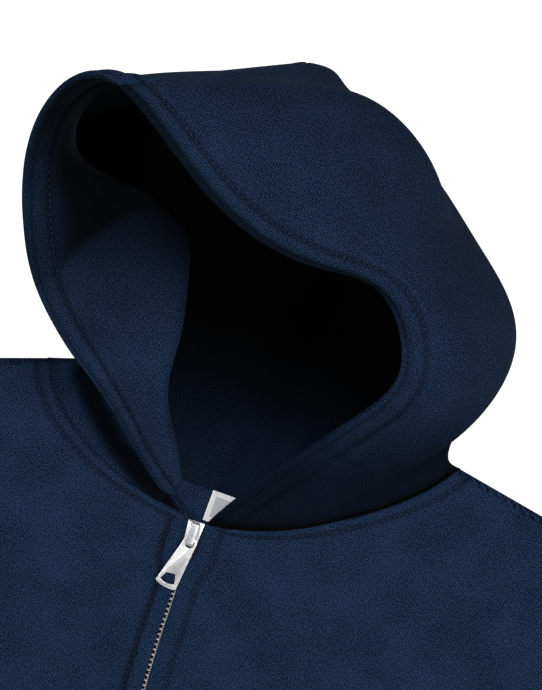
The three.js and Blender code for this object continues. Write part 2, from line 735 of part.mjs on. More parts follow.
// A panel's two nets. Their rows run from the neck seam to the crown. Their first stops are the hem, at set
// distances from the front edge, and the others spread to the neck point and on to the middle of the back. Along
// the seam the cloth's outer side turns from up to down, so that the rim stands square to the body's edge. Where
// the crown seam meets the back seam the panels' corners are cut a little shorter, because all rows meet there.
function hoodNets(side) {
  const rowPlaces = (pointAt, up = 0) => {
    const hem = hoodEdgeStops.map((distance) => placeAtDistance(pointAt, distance));
    const front = hoodFrontShares.map((share) => lerp(hem.at(-1), hoodFrontPlace, share));
    const end = hoodBackEnd - hoodTipNotch * smooth(up, hoodLevels - 1.5, hoodLevels);
    return [...hem, ...front, ...hoodTurnPlaces, ...hoodBackPlaces, end];
  };
  const seamPoint = (place) => hoodNeckPoint(side, place, hoodNeckInset);
  const seamOutwards = (place) => {
    return new THREE.Vector3(side * Math.sin(hoodTurn(place)), 0, Math.cos(hoodTurn(place)));
  };
  const rows = [rowPlaces(seamPoint).map((place) => {
    return { point: seamPoint(place), outwards: seamOutwards(place), half: hoodCloth / 2 };
  })];
  for (let r = 0; r < hoodRows; r += 1) {
    const up = (r / (hoodRows - 1)) * (hoodLevels - hoodSeamShare);
    const along = side < 0 ? up : 2 * hoodLevels - up;
    rows.push(rowPlaces((place) => hoodPoint(place, along), up).map((place, column) => {
      const isHem = column < hoodEdgeStops.length - 1;
      const half = (hoodCloth + (isHem ? hemExtra : 0)) / 2;
      return { point: hoodPoint(place, along), outwards: hoodOutwards(place, along), half };
    }));
  }
  const offset = (sign) => rows.map((row) => row.map(({ point, outwards, half }) => {
    return point.clone().addScaledVector(outwards, sign * half);
  }));
  return { outer: offset(1), inner: offset(-1) };
}

for (const [side, name] of [[-1, 'hood_left_panel'], [1, 'hood_right_panel']]) {
  const nets = hoodNets(side);
  addMesh(name, wallGeometry(nets.outer, nets.inner), fleece);
}

// The zip. Its tapes hang just under the fronts, its chain lies between them, and a box closes its lower end.
const tapeMiddle = 10;
const zipRows = [0, 0.1, 0.2, 0.3, 0.4, 0.5, 0.6, 0.7, 0.8, 0.87, 0.93, 0.97, 1];
function tapeNets(side, top) {
  const bottom = hemY - waistHeight;
  const nets = { outer: [], inner: [] };
  zipRows.forEach((share) => {
    const y = lerp(bottom, top, share);
    const row = (down) => [tapeInner, bandWide, tapeMiddle, tapeOuter].map((distance) => {
      const x = zipX(y) + side * distance;
      const fromEdge = Math.max(distance - Math.abs(zipEdgeX(side, y) - zipX(y)), 0);
      return new THREE.Vector3(x, y, frontLow + placketLift(fromEdge) - seamGap - down);
    });
    nets.outer.push(row(0));
    nets.inner.push(row(tapeThick));
  });
  return nets;
}
for (const [side, name] of [[-1, 'zip_tape_left'], [1, 'zip_tape_right']]) {
  const nets = tapeNets(side, zipTop - tapeTopDrop);
  addMesh(name, wallGeometry(nets.outer, nets.inner), tape);
}

function barGeometry(bottom, top, half, low, high) {
  const row = (share, height) => {
    const y = lerp(bottom, top, share);
    return [-half, half].map((x) => new THREE.Vector3(zipX(y) + x, y, height));
  };
  return wallGeometry(zipRows.map((share) => row(share, high)), zipRows.map((share) => row(share, low)));
}
const boxTop = hemY - waistHeight + boxHeight;
addMesh('zip_chain', barGeometry(boxTop + seamGap, chainTop, chainHalf, chainLow, chainHigh), metal);
addMesh('zip_box', barGeometry(hemY - waistHeight, boxTop, chainHalf, boxLow, chainHigh), metal);

// Solids that join and cut.
function toSolid(geometry) {
  const plain = new THREE.BufferGeometry();
  plain.setAttribute('position', geometry.getAttribute('position').clone());
  if (geometry.index) plain.setIndex(geometry.index.clone());
  const merged = mergeVertices(plain, 1e-4);
  return new wasm.Manifold(new wasm.Mesh({
    numProp: 3,
    vertProperties: new Float32Array(merged.getAttribute('position').array),
    triVerts: new Uint32Array(merged.index.array),
  }));
}
function fromSolid(solid) {
  const { vertProperties, triVerts } = solid.getMesh();
  const geometry = new THREE.BufferGeometry();
  geometry.setAttribute('position', new THREE.BufferAttribute(vertProperties, 3));
  geometry.setIndex(new THREE.BufferAttribute(triVerts, 1));
  geometry.computeVertexNormals();
  return geometry;
}
const toShape = (points) => new THREE.Shape(points.map(([x, y]) => new THREE.Vector2(x, y)));
function plateGeometry(points, low, high) {
  const geometry = new THREE.ExtrudeGeometry(toShape(points), { depth: high - low, bevelEnabled: false });
  return geometry.translate(0, 0, low);
}

const bridgeInset = { lower: 0.5, upper: 0.2 };

// The slider: two plates round the chain, a post between them above the teeth, and a bridge for the pull.
function sliderGeometry() {
  const outline = [
    [-sliderTopHalf, sliderAbove],
    [-sliderBottomHalf, -sliderBelow],
    [sliderBottomHalf, -sliderBelow],
    [sliderTopHalf, sliderAbove],
  ];
  const postLow = sliderAbove - postDeep;
  const post = [[-postHalf, sliderAbove], [-postHalf, postLow], [postHalf, postLow], [postHalf, sliderAbove]];
  const sunk = 0.3;
  const corner = 1;
  const bridgeTop = bridgeLow + bridgeThick;
  const lowerEnd = -sliderBelow + bridgeInset.lower;
  const upperEnd = sliderAbove - bridgeInset.upper;
  const foot = upperPlate.high - sunk;
  const sideView = [
    [lowerEnd, foot],
    [lowerEnd + bridgeThick, foot],
    [lowerEnd + bridgeThick, bridgeLow],
    [upperEnd - bridgeThick, bridgeLow],
    [upperEnd - bridgeThick, foot],
    [upperEnd, foot],
    [upperEnd, bridgeTop - corner],
    [upperEnd - corner, bridgeTop],
    [lowerEnd + corner, bridgeTop],
    [lowerEnd, bridgeTop - corner],
  ];
  const bridge = new THREE.ExtrudeGeometry(toShape(sideView), { depth: 2 * bridgeHalf, bevelEnabled: false });
  const standing = new THREE.Matrix4().makeBasis(
    new THREE.Vector3(0, 1, 0),
    new THREE.Vector3(0, 0, 1),
    new THREE.Vector3(1, 0, 0),
  );
  bridge.applyMatrix4(standing).translate(-bridgeHalf, 0, 0);
  return fromSolid(
    toSolid(plateGeometry(outline, lowerPlate.low, lowerPlate.high))
      .add(toSolid(plateGeometry(outline, upperPlate.low, upperPlate.high)))
      .add(toSolid(plateGeometry(post, lowerPlate.low + sunk, upperPlate.high - sunk)))
      .add(toSolid(bridge)),
  );
}

// The pull tab: a flat plate that leans to the left, with a slot for the bridge and a hole near its end. It is
// drawn from its axle, downwards along the slider.
function tabGeometry() {
  const outline = new THREE.Shape();
  outline.moveTo(-3.3, tabBarHalf);
  outline.lineTo(-4.5, -slotEnd);
  outline.lineTo(-10.4, -22.4);
  outline.quadraticCurveTo(-10.7, -23.6, -9.5, -24.1);
  outline.quadraticCurveTo(-5.4, -26, -1, -25.7);
  outline.quadraticCurveTo(0.4, -25.6, 0.5, -24.2);
  outline.lineTo(3.1, -slotEnd);
  outline.lineTo(3.3, tabBarHalf);
  outline.closePath();
  const slot = new THREE.Path();
  slot.moveTo(-slotHalf, -tabBarHalf);
  slot.lineTo(slotHalf, -tabBarHalf);
  slot.lineTo(slotHalf, 1 - slotEnd);
  slot.quadraticCurveTo(0, -slotEnd - 1, -slotHalf, 1 - slotEnd);
  slot.closePath();
  const hole = new THREE.Path();
  hole.moveTo(-6.7, -18.4);
  hole.lineTo(-2.2, -18);
  hole.lineTo(-1.1, -22.8);
  hole.quadraticCurveTo(-4.8, -24.4, -8.6, -22);
  hole.closePath();
  outline.holes.push(slot, hole);
  const options = { depth: tabThick, bevelEnabled: false, curveSegments: 4 };
  return new THREE.ExtrudeGeometry(outline, options).translate(0, 0, -tabThick / 2);
}

const sliderGroup = new THREE.Group();
sliderGroup.position.set(axle.x, axle.y, 0);
sliderGroup.rotation.z = sliderTurn;
hoodie.add(sliderGroup);
sliderGroup.add(addMesh('zip_slider', sliderGeometry(), metal));
const pull = addMesh('zip_pull', tabGeometry(), metal);
pull.position.z = axle.z;
sliderGroup.add(pull);

// The blank label, sewn in at the back neck seam and turned a little.
const label = addMesh('neck_label', new THREE.BoxGeometry(labelWide, labelLong, labelThick), labelWhite);
label.position.set(labelCentre.x, labelCentre.y, cloth + seamGap + labelThick / 2);
label.rotation.z = labelTurn;

// Stands the garment on the table with the middle of its footprint at the origin.
const footprint = new THREE.Box3().setFromObject(hoodie, true);
const middlePoint = footprint.getCenter(new THREE.Vector3());
hoodie.position.set(-middlePoint.x, -middlePoint.y, -footprint.min.z);
hoodie.updateMatrixWorld(true);

export default hoodie;
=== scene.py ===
# A navy zip-up hooded sweatshirt that lies on a white table, front up, with its hood propped open.
# Shapes are worked out in millimetres. Places in plan are measured from the middle of the line between the
# two neck points: x to the right, y towards the hood, z up from the table. A side is -1 left and 1 right.
import math
import bmesh
import bpy
import numpy as np
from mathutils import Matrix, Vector


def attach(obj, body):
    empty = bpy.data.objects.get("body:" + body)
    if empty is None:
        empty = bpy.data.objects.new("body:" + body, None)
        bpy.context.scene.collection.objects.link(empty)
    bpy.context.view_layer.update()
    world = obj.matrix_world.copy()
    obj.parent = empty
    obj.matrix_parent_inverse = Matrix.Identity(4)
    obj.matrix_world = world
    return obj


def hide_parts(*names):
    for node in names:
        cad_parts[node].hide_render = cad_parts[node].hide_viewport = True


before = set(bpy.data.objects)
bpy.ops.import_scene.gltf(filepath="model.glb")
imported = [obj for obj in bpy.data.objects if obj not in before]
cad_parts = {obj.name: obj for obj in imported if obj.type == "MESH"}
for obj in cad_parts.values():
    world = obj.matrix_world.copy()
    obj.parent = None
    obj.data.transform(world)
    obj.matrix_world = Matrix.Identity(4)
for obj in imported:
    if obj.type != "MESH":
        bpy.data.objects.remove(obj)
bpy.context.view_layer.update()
planShift = np.array([0.0, 267.0185, 0.0])  # from the neck to the middle of the footprint

# Camera, straight above the neck and turned as the photograph is
cameraLook = {"high": 1.5, "x": -0.000776, "y": 0.301177, "turn": 15.1, "lens": 159.55}


def makeCamera():
    data = bpy.data.cameras.new("camera")
    data.lens = cameraLook["lens"]
    camera = bpy.data.objects.new("camera", data)
    camera.location = (cameraLook["x"], cameraLook["y"], cameraLook["high"])
    camera.rotation_euler = (0, 0, math.radians(cameraLook["turn"]))
    bpy.context.collection.objects.link(camera)
    bpy.context.scene.camera = camera


# Soft studio lights. Azimuth is from +x towards +y, aim is the point in plan that they face.
lightLook = {
    "aim": (0.0, 0.3, 0.03),
    "key": {"azimuth": 64, "elevation": 68, "distance": 1.7, "size": 0.6, "power": 15},
    "left": {"azimuth": 185, "elevation": 56, "distance": 1.8, "size": 0.5, "power": 8},
    "low": {"azimuth": 300, "elevation": 42, "distance": 1.9, "size": 0.5, "power": 13},
    "world": 0.04,
}


def makeLights():
    aim = Vector(lightLook["aim"])
    for name in ("key", "left", "low"):
        look = lightLook[name]
        turn, rise = math.radians(look["azimuth"]), math.radians(look["elevation"])
        away = Vector((math.cos(turn) * math.cos(rise), math.sin(turn) * math.cos(rise), math.sin(rise)))
        data = bpy.data.lights.new(name, "AREA")
        data.shape = "DISK"
        data.size = look["size"]
        data.energy = look["power"]
        lamp = bpy.data.objects.new(name, data)
        lamp.location = aim + away * look["distance"]
        lamp.rotation_euler = away.to_track_quat("Z", "Y").to_euler()
        bpy.context.collection.objects.link(lamp)
    world = bpy.data.worlds.new("studio")
    world.use_nodes = True
    background = world.node_tree.nodes["Background"]
    background.inputs["Color"].default_value = (1, 1, 1, 1)
    background.inputs["Strength"].default_value = lightLook["world"]
    bpy.context.scene.world = world
    bpy.context.scene.view_settings.view_transform = "Standard"


# Adds a node. Sockets are named or numbered, and a value that is a socket is linked.
def put(tree, kind, settings, sockets):
    node = tree.nodes.new(kind)
    for key, value in settings.items():
        setattr(node, key, value)
    for key, value in sockets.items():
        if isinstance(value, bpy.types.NodeSocket):
            tree.links.new(value, node.inputs[key])
        else:
            node.inputs[key].default_value = value
    return node


def startMaterial(name, roughness, metallic=0.0):
    material = bpy.data.materials.new(name)
    material.use_nodes = True
    tree = material.node_tree
    shader = tree.nodes["Principled BSDF"]
    shader.inputs["Roughness"].default_value = roughness
    shader.inputs["Metallic"].default_value = metallic
    return material, tree, shader


# Bands of a wave across a turned map: pitch is the distance from ridge to ridge, in metres.
def bands(tree, coordinates, turn, pitch, distortion=0.0, detailScale=1.0):
    mapping = put(tree, "ShaderNodeMapping", {}, {"Vector": coordinates, "Rotation": (0, 0, math.radians(turn))})
    settings = {"wave_type": "BANDS", "bands_direction": "X", "wave_profile": "SIN"}
    return put(tree, "ShaderNodeTexWave", settings, {
        "Vector": mapping.outputs[0], "Scale": math.tau / 20 / pitch, "Distortion": distortion,
        "Detail": 1.0, "Detail Scale": detailScale,
    }).outputs["Fac"]


def noise(tree, coordinates, size, detail=2.0):
    return put(tree, "ShaderNodeTexNoise", {}, {
        "Vector": coordinates, "Scale": 1 / size, "Detail": detail, "Roughness": 0.6,
    }).outputs["Fac"]


def blend(tree, operation, first, second):
    return put(tree, "ShaderNodeMath", {"operation": operation}, {0: first, 1: second}).outputs[0]


def ramp(tree, factor, dark, light, low=0.0, high=1.0):
    node = put(tree, "ShaderNodeValToRGB", {}, {"Fac": factor})
    node.color_ramp.elements[0].position = low
    node.color_ramp.elements[1].position = high
    node.color_ramp.elements[0].color = (*dark, 1)
    node.color_ramp.elements[1].color = (*light, 1)
    return node.outputs["Color"]


def bump(tree, shader, height, distance, strength=1.0):
    node = put(tree, "ShaderNodeBump", {}, {"Height": height, "Distance": distance, "Strength": strength})
    tree.links.new(node.outputs[0], shader.inputs["Normal"])


fleeceLook = {
    "dark": (0.0002, 0.0008, 0.0030), "light": (0.0205, 0.0490, 0.1200), "roughness": 0.95,
    "waleTurn": 7, "walePitch": 0.00112, "slantTurn": -62, "slantPitch": 0.00110,
    "backTurn": 60, "backPitch": 0.00130, "fuzz": 0.0009, "patch": 0.03, "relief": 0.0003,
    "sheen": 0.02,
}


# Fleece: three crossed waves give the staggered stitches of the knit, with fuzz and slow patches of lighter and
# darker tone. A per-point attribute of painted shade then darkens the cloth deep inside folds and in grooves.
def makeFleece():
    look = fleeceLook
    material, tree, shader = startMaterial("navy_fleece", look["roughness"])
    coordinates = put(tree, "ShaderNodeUVMap", {"uv_map": "cloth"}, {}).outputs[0]
    wale = bands(tree, coordinates, look["waleTurn"], look["walePitch"], 2.2, 1.6)
    slant = bands(tree, coordinates, look["slantTurn"], look["slantPitch"], 2.6, 1.4)
    backSlant = bands(tree, coordinates, look["backTurn"], look["backPitch"], 2.6, 1.4)
    fuzz = noise(tree, coordinates, look["fuzz"], 2.0)
    patch = noise(tree, coordinates, look["patch"], 5.0)
    slants = blend(tree, "ADD", blend(tree, "MULTIPLY", slant, 0.16), blend(tree, "MULTIPLY", backSlant, 0.05))
    knit = blend(tree, "ADD", blend(tree, "MULTIPLY", wale, 0.15), slants)
    height = blend(tree, "ADD", knit, blend(tree, "MULTIPLY", fuzz, 0.68))
    shade = blend(tree, "ADD", height, blend(tree, "MULTIPLY", patch, 0.2))
    colour = ramp(tree, shade, look["dark"], look["light"], 0.46, 0.8)
    # Painted shade: the colour is scaled by the point attribute read here. It is low in grooves, folds and the hood's
    # hollows, and above 1 on the lapel's lit face.
    paintedShade = put(tree, "ShaderNodeAttribute", {"attribute_name": "painted_shade"}, {}).outputs["Fac"]
    shaded = put(tree, "ShaderNodeVectorMath", {"operation": "SCALE"}, {0: colour, "Scale": paintedShade}).outputs[0]
    tree.links.new(shaded, shader.inputs["Base Color"])
    bump(tree, shader, height, look["relief"])
    shader.inputs["Specular IOR Level"].default_value = 0.08
    shader.inputs["Sheen Weight"].default_value = look["sheen"]
    shader.inputs["Sheen Roughness"].default_value = 0.5
    shader.inputs["Sheen Tint"].default_value = (0.4, 0.6, 1.0, 1)
    return material


ribLook = {
    "dark": (0.0035, 0.0090, 0.024), "light": (0.0125, 0.0295, 0.072), "roughness": 0.9,
    "stitchPitch": 0.0013, "coursePitch": 0.0011, "relief": 0.00014,
}


# Rib knit: small stitches in columns along each rib, crossed by courses.
def makeRib():
    look = ribLook
    material, tree, shader = startMaterial("navy_rib", look["roughness"])
    coordinates = put(tree, "ShaderNodeUVMap", {"uv_map": "cloth"}, {}).outputs[0]
    columns = bands(tree, coordinates, 0, look["stitchPitch"], 0.6, 2.0)
    courses = bands(tree, coordinates, 90, look["coursePitch"], 0.8, 2.0)
    fuzz = noise(tree, coordinates, 0.0011, 3.0)
    patch = noise(tree, coordinates, 0.03, 2.0)
    knit = blend(tree, "MULTIPLY", columns, courses)
    height = blend(tree, "ADD", knit, blend(tree, "MULTIPLY", fuzz, 0.5))
    shade = blend(tree, "ADD", height, blend(tree, "MULTIPLY", patch, 0.5))
    tree.links.new(ramp(tree, shade, look["dark"], look["light"], 0.3, 1.3), shader.inputs["Base Color"])
    bump(tree, shader, height, look["relief"])
    shader.inputs["Specular IOR Level"].default_value = 0.08
    shader.inputs["Sheen Weight"].default_value = 0.035
    shader.inputs["Sheen Tint"].default_value = (0.4, 0.6, 1.0, 1)
    return material


tapeLook = {"dark": (0.004, 0.007, 0.016), "light": (0.012, 0.020, 0.042), "weave": 0.0009, "relief": 0.0001}


# Woven tape: two crossed diagonals.
def makeTape():
    look = tapeLook
    material, tree, shader = startMaterial("navy_tape", 0.75)
    coordinates = put(tree, "ShaderNodeUVMap", {"uv_map": "cloth"}, {}).outputs[0]
    weave = blend(tree, "MULTIPLY", bands(tree, coordinates, 45, look["weave"]),
                  bands(tree, coordinates, -45, look["weave"]))
    shade = blend(tree, "ADD", weave, noise(tree, coordinates, 0.004))
    tree.links.new(ramp(tree, shade, look["dark"], look["light"], 0.3, 1.4), shader.inputs["Base Color"])
    bump(tree, shader, weave, look["relief"])
    return material


threadLook = {"dark": (0.006, 0.012, 0.028), "light": (0.020, 0.038, 0.080), "twist": 0.0006, "relief": 0.00008}


# Sewing thread: a slanting twist.
def makeThread():
    look = threadLook
    material, tree, shader = startMaterial("navy_thread", 0.6)
    coordinates = put(tree, "ShaderNodeTexCoord", {}, {}).outputs["Object"]
    twist = bands(tree, coordinates, 40, look["twist"])
    tree.links.new(ramp(tree, twist, look["dark"], look["light"]), shader.inputs["Base Color"])
    bump(tree, shader, twist, look["relief"])
    shader.inputs["Specular IOR Level"].default_value = 0.4
    return material


metalLook = {"dark": (0.74, 0.75, 0.77), "light": (0.95, 0.95, 0.96), "roughness": 0.34, "grain": 0.0004}


# Satin metal: a fine brushed grain, with duller smudges.
def makeMetal():
    look = metalLook
    material, tree, shader = startMaterial("satin_metal", look["roughness"], 0.72)
    coordinates = put(tree, "ShaderNodeTexCoord", {}, {}).outputs["Object"]
    stretched = put(tree, "ShaderNodeMapping", {}, {"Vector": coordinates, "Scale": (6, 1, 6)}).outputs[0]
    grain = noise(tree, stretched, look["grain"], 2.0)
    smudge = noise(tree, coordinates, 0.004, 3.0)
    shade = blend(tree, "ADD", blend(tree, "MULTIPLY", grain, 0.5), blend(tree, "MULTIPLY", smudge, 0.5))
    tree.links.new(ramp(tree, shade, look["dark"], look["light"], 0.2, 0.7), shader.inputs["Base Color"])
    spread = put(tree, "ShaderNodeMapRange", {}, {"Value": shade, "To Min": 0.22, "To Max": 0.42}).outputs[0]
    tree.links.new(spread, shader.inputs["Roughness"])
    bump(tree, shader, grain, 0.00002)
    return material


labelLook = {
    "white": (0.93, 0.93, 0.93), "grey": (0.55, 0.56, 0.58), "border": 0.16, "weave": 0.0005, "relief": 0.00006,
}


# Blank label: satin weave, light grey in the middle and white round its border.
def makeLabel():
    look = labelLook
    material, tree, shader = startMaterial("blank_label", 0.55)
    coordinates = put(tree, "ShaderNodeUVMap", {"uv_map": "cloth"}, {}).outputs[0]
    parts = put(tree, "ShaderNodeSeparateXYZ", {}, {0: coordinates})
    wide, long = 0.019, 0.0154
    acrossEdge = blend(tree, "SUBTRACT", 0.5 * wide, blend(tree, "ABSOLUTE", parts.outputs[0], 0.0))
    alongEdge = blend(tree, "SUBTRACT", 0.5 * long, blend(tree, "ABSOLUTE", parts.outputs[1], 0.0))
    inside = blend(tree, "MINIMUM", acrossEdge, alongEdge)
    middle = put(tree, "ShaderNodeMapRange", {}, {
        "Value": inside, "From Min": look["border"] * long - 0.0004, "From Max": look["border"] * long + 0.0004,
    }).outputs[0]
    weave = blend(tree, "MULTIPLY", bands(tree, coordinates, 0, look["weave"]),
                  bands(tree, coordinates, 90, look["weave"]))
    shade = blend(tree, "ADD", middle, blend(tree, "MULTIPLY", weave, 0.15))
    tree.links.new(ramp(tree, shade, look["white"], look["grey"], 0.0, 1.1), shader.inputs["Base Color"])
    bump(tree, shader, weave, look["relief"])
    return material


floorLook = {"dark": (0.30, 0.30, 0.31), "light": (0.34, 0.34, 0.35), "glow": 1.0, "half": 3.0}


# White table: it glows to the eye alone, so that it reads as the plain white ground and throws no light upwards.
def makeFloor():
    material, tree, shader = startMaterial("white_table", 0.9)
    coordinates = put(tree, "ShaderNodeTexCoord", {}, {}).outputs["Object"]
    shade = ramp(tree, noise(tree, coordinates, 0.02, 3.0), floorLook["dark"], floorLook["light"])
    tree.links.new(shade, shader.inputs["Base Color"])
    shader.inputs["Emission Color"].default_value = (1, 1, 1, 1)
    seen = put(tree, "ShaderNodeLightPath", {}, {}).outputs["Is Camera Ray"]
    tree.links.new(blend(tree, "MULTIPLY", seen, floorLook["glow"]), shader.inputs["Emission Strength"])
    mesh = bpy.data.meshes.new("table_top")
    half = floorLook["half"]
    mesh.from_pydata([(-half, -half, -0.0004), (half, -half, -0.0004), (half, half, -0.0004), (-half, half, -0.0004)],
                     [], [(0, 1, 2, 3)])
    mesh.materials.append(material)
    floor = bpy.data.objects.new("table_top", mesh)
    bpy.context.collection.objects.link(floor)


makeCamera()
makeLights()
makeFloor()
fleece, rib, tape, thread = makeFleece(), makeRib(), makeTape(), makeThread()
metal, labelCloth = makeMetal(), makeLabel()
print("camera, lights and materials made")


# Eased step from 0 at low to 1 at high.
def smooth(value, low, high):
    share = np.clip((value - low) / (high - low), 0, 1)
    return share * share * (3 - 2 * share)


def mix(first, second, share):
    return first + (second - first) * share


# A smooth curve through places in plan: each span is a cubic that leaves a point towards its two neighbours.
# Gives its points and the share of its length at each.
def planCurve(table, count=900):
    points = np.array(table, float)
    spans = len(points) - 1
    run = np.linspace(0, spans, count)
    span = np.minimum(run.astype(int), spans - 1)
    f = (run - span)[:, None]
    before, start = points[np.maximum(span - 1, 0)], points[span]
    end, after = points[span + 1], points[np.minimum(span + 2, spans)]
    leave, arrive = (end - before) / 2, (after - start) / 2
    curve = (2 * start - 2 * end + leave + arrive) * f**3
    curve += (3 * end - 3 * start - 2 * leave - arrive) * f**2 + leave * f + start
    length = np.concatenate([[0], np.cumsum(np.linalg.norm(np.diff(curve, axis=0), axis=1))])
    return {"points": curve, "shares": length / length[-1], "length": length[-1]}


def curveAt(curve, shares):
    columns = [np.interp(shares, curve["shares"], curve["points"][:, i]) for i in range(curve["points"].shape[1])]
    return np.stack(columns, -1)


# A natural cubic spline as weights: row by row, how much of each point a place on the spline takes.
def splineWeights(count, places):
    inner = np.arange(1, count - 1)
    system, pulls = np.eye(count), np.zeros((count, count))
    system[inner, inner - 1] = system[inner, inner + 1] = 1
    system[inner, inner] = 4
    pulls[inner, inner - 1] = pulls[inner, inner + 1] = 6
    pulls[inner, inner] = -12
    bends = np.linalg.solve(system, pulls)
    span = np.clip(np.floor(places).astype(int), 0, count - 2)
    f = (places - span)[:, None]
    g = 1 - f
    one = np.eye(count)
    return g * one[span] + f * one[span + 1] + (g**3 - g) / 6 * bends[span] + (f**3 - f) / 6 * bends[span + 1]


# How far each place lies from a broken line, and the share of the line's length where it comes nearest.
def lineDistance(places, line):
    line = np.array(line, float)
    lengths = np.linalg.norm(np.diff(line, axis=0), axis=1)
    starts = np.concatenate([[0], np.cumsum(lengths)])
    best = np.full(places.shape[:-1], 1e9)
    share = np.zeros_like(best)
    for i, length in enumerate(lengths):
        run = line[i + 1] - line[i]
        along = np.clip((places - line[i]) @ run / length**2, 0, 1)
        distance = np.linalg.norm(places - line[i] - along[..., None] * run, axis=-1)
        nearer = distance < best
        best = np.where(nearer, distance, best)
        share = np.where(nearer, (starts[i] + along * length) / starts[-1], share)
    return best, share


# Sum of soft folds: each is a bell across its line, height times exp(-(distance / width)^2), that fades towards
# the line's two ends. The folds go down where the height is below 0.
def foldRelief(places, folds):
    total = np.zeros(places.shape[:-1])
    for height, width, *line in folds:
        smoothLine = planCurve(line, 6 * len(line))["points"] if len(line) > 2 else line
        distance, share = lineDistance(places, smoothLine)
        fade = smooth(share, -0.02, 0.3) * (1 - smooth(share, 0.7, 1.02))
        total += height * np.exp(-((distance / width) ** 2)) * fade
    return total


# Slow unevenness: a few crossed sine waves of unlike lengths and directions, within the height given.
def unevenness(places, height, seed):
    dice = np.random.default_rng(seed)
    total = np.zeros(places.shape[:-1])
    for i in range(7):
        turn, length, phase = dice.uniform(0, math.pi), dice.uniform(55, 190), dice.uniform(0, math.tau)
        across = places[..., 0] * math.cos(turn) + places[..., 1] * math.sin(turn)
        total += np.sin(math.tau * across / length + phase)
    return height * total / 4


def addPiece(name, mesh, material, body="garment"):
    mesh.materials.append(material)
    piece = bpy.data.objects.new(name, mesh)
    bpy.context.collection.objects.link(piece)
    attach(piece, body)
    return piece


# A closed wall: one closed loop of points for each station, joined to its neighbours by quads. A ring's last
# loop joins its first, and else each end is closed by quads between the loop's two halves. The map has one more
# station than the loops where it is a ring.
def wallPiece(name, loops, chart, isRing, material, sharp=50, paintedShade=None):
    stations, count = loops.shape[:2]
    points = (loops.reshape(-1, 3) + planShift) / 1000
    station = np.arange(stations if isRing else stations - 1)[:, None]
    place = np.arange(count)[None, :]
    after = (place + 1) % count
    corners = [(station, place), (station, after), (station + 1, after), (station + 1, place)]
    faces = np.stack([(s % stations) * count + k for s, k in corners], -1).reshape(-1, 4)
    charts = np.stack([chart[s, k] for s, k in corners], -2).reshape(-1, 4, 2)
    if not isRing:
        k = np.arange(count // 2 - 1)
        first = np.stack([k + 1, k, count - 1 - k, count - 2 - k], -1)
        last = np.stack([k, k + 1, count - 2 - k, count - 1 - k], -1)
        faces = np.concatenate([faces, first, last + (stations - 1) * count])
        charts = np.concatenate([charts, chart[0][first], chart[-1][last]])
    a, b, c, d = [points[faces[:, i]] for i in range(4)]
    volume = np.sum(a * np.cross(b, c)) + np.sum(a * np.cross(c, d))
    if volume < 0:
        faces, charts = faces[:, ::-1], charts[:, ::-1]
    mesh = bpy.data.meshes.new(name)
    mesh.from_pydata(points.tolist(), [], faces.tolist())
    mesh.uv_layers.new(name="cloth").data.foreach_set("uv", np.ascontiguousarray(charts / 1000).ravel())
    # Painted shade: a factor per point that scales the cloth's colour, 1 where none is painted, kept as a point
    # attribute.
    shade = np.ones(len(points)) if paintedShade is None else paintedShade.ravel()
    mesh.attributes.new("painted_shade", "FLOAT", "POINT").data.foreach_set("value", shade.astype(np.float32))
    mesh.shade_smooth()
    mesh.set_sharp_from_angle(angle=math.radians(sharp))
    print(f"{name}: {2 * len(faces)} triangles")
    return addPiece(name, mesh, material)


# The rounded rim between an outer and an inner edge: half a turn about their middle, bulging away from the
# cloth. Points go from the outer side to the inner one.
def rimPoints(outer, inner, away, steps=6):
    middle, half = (outer + inner) / 2, (outer - inner) / 2
    reach = np.linalg.norm(half, axis=-1, keepdims=True)
    turns = (np.arange(1, steps + 1) / (steps + 1) * math.pi)[None, :, None]
    return middle[:, None] + half[:, None] * np.cos(turns) + (away * reach)[:, None] * np.sin(turns)


# The pattern goes on round a rim: from the edge's place, in equal steps away from the cloth.
def rimCharts(edge, direction, count, step):
    return edge[:, None] + direction * (np.arange(1, count + 1) * step)[None, :, None]


def unit(vectors):
    return vectors / np.maximum(np.linalg.norm(vectors, axis=-1, keepdims=True), 1e-9)


# Cloth and seams of the body, in plan
body = {
    "cloth": 2.2, "layerGap": 3.0, "neckHalf": 103, "neckFront": 57.5, "neckBack": 41,
    "shoulder": (250, -39), "hem": -635, "bandWide": 6.4, "bandRise": 0.8, "placketWide": 14, "placketRise": 0.7,
    "edgeGap": 0.9, "sliderGap": 4.6, "zipTop": -57.4,
}
frontHigh = 2 * body["cloth"] + body["layerGap"]
foldRadius = frontHigh / 2
foldInside = foldRadius - body["cloth"]
armhole = planCurve([(285, -300), (262, -236), (246, -165), (243, -100), (250, -39)])
sideSeam = planCurve([(256, -635), (272, -585), (281, -480), (284, -380), (285, -300)])
zipLine = planCurve([(-6, -700), (-11, -450), (-17, -260), (-17.2, -143.5), (-15.3, -95), (-13.4, -58)])
overarm = planCurve([(250, -39), (292, -56), (333, -88), (384, -147), (480, -261), (610, -416), (630, -446)])
underarm = planCurve([(285, -300), (318, -334), (372, -382), (452, -448), (528, -507), (552, -512)])


def zipX(y):
    return np.interp(y, zipLine["points"][:, 1], zipLine["points"][:, 0])


def zipEdgeX(side, y):
    return zipX(y) + side * mix(body["edgeGap"], body["sliderGap"], smooth(y, -84, -72))


# The neckline falls as a soft curve from the neck point to the zip, deeper on the right.
def neckFrontY(x):
    share = np.minimum(np.abs(x) / body["neckHalf"], 1)
    fall = np.where(x < 0, (1 - share**2) ** 0.6, (1 - share**1.5) ** 0.75)
    return -body["neckFront"] * fall


def neckBackY(x):
    return -body["neckBack"] * np.sqrt(np.maximum(0, 1 - (x / body["neckHalf"]) ** 2))


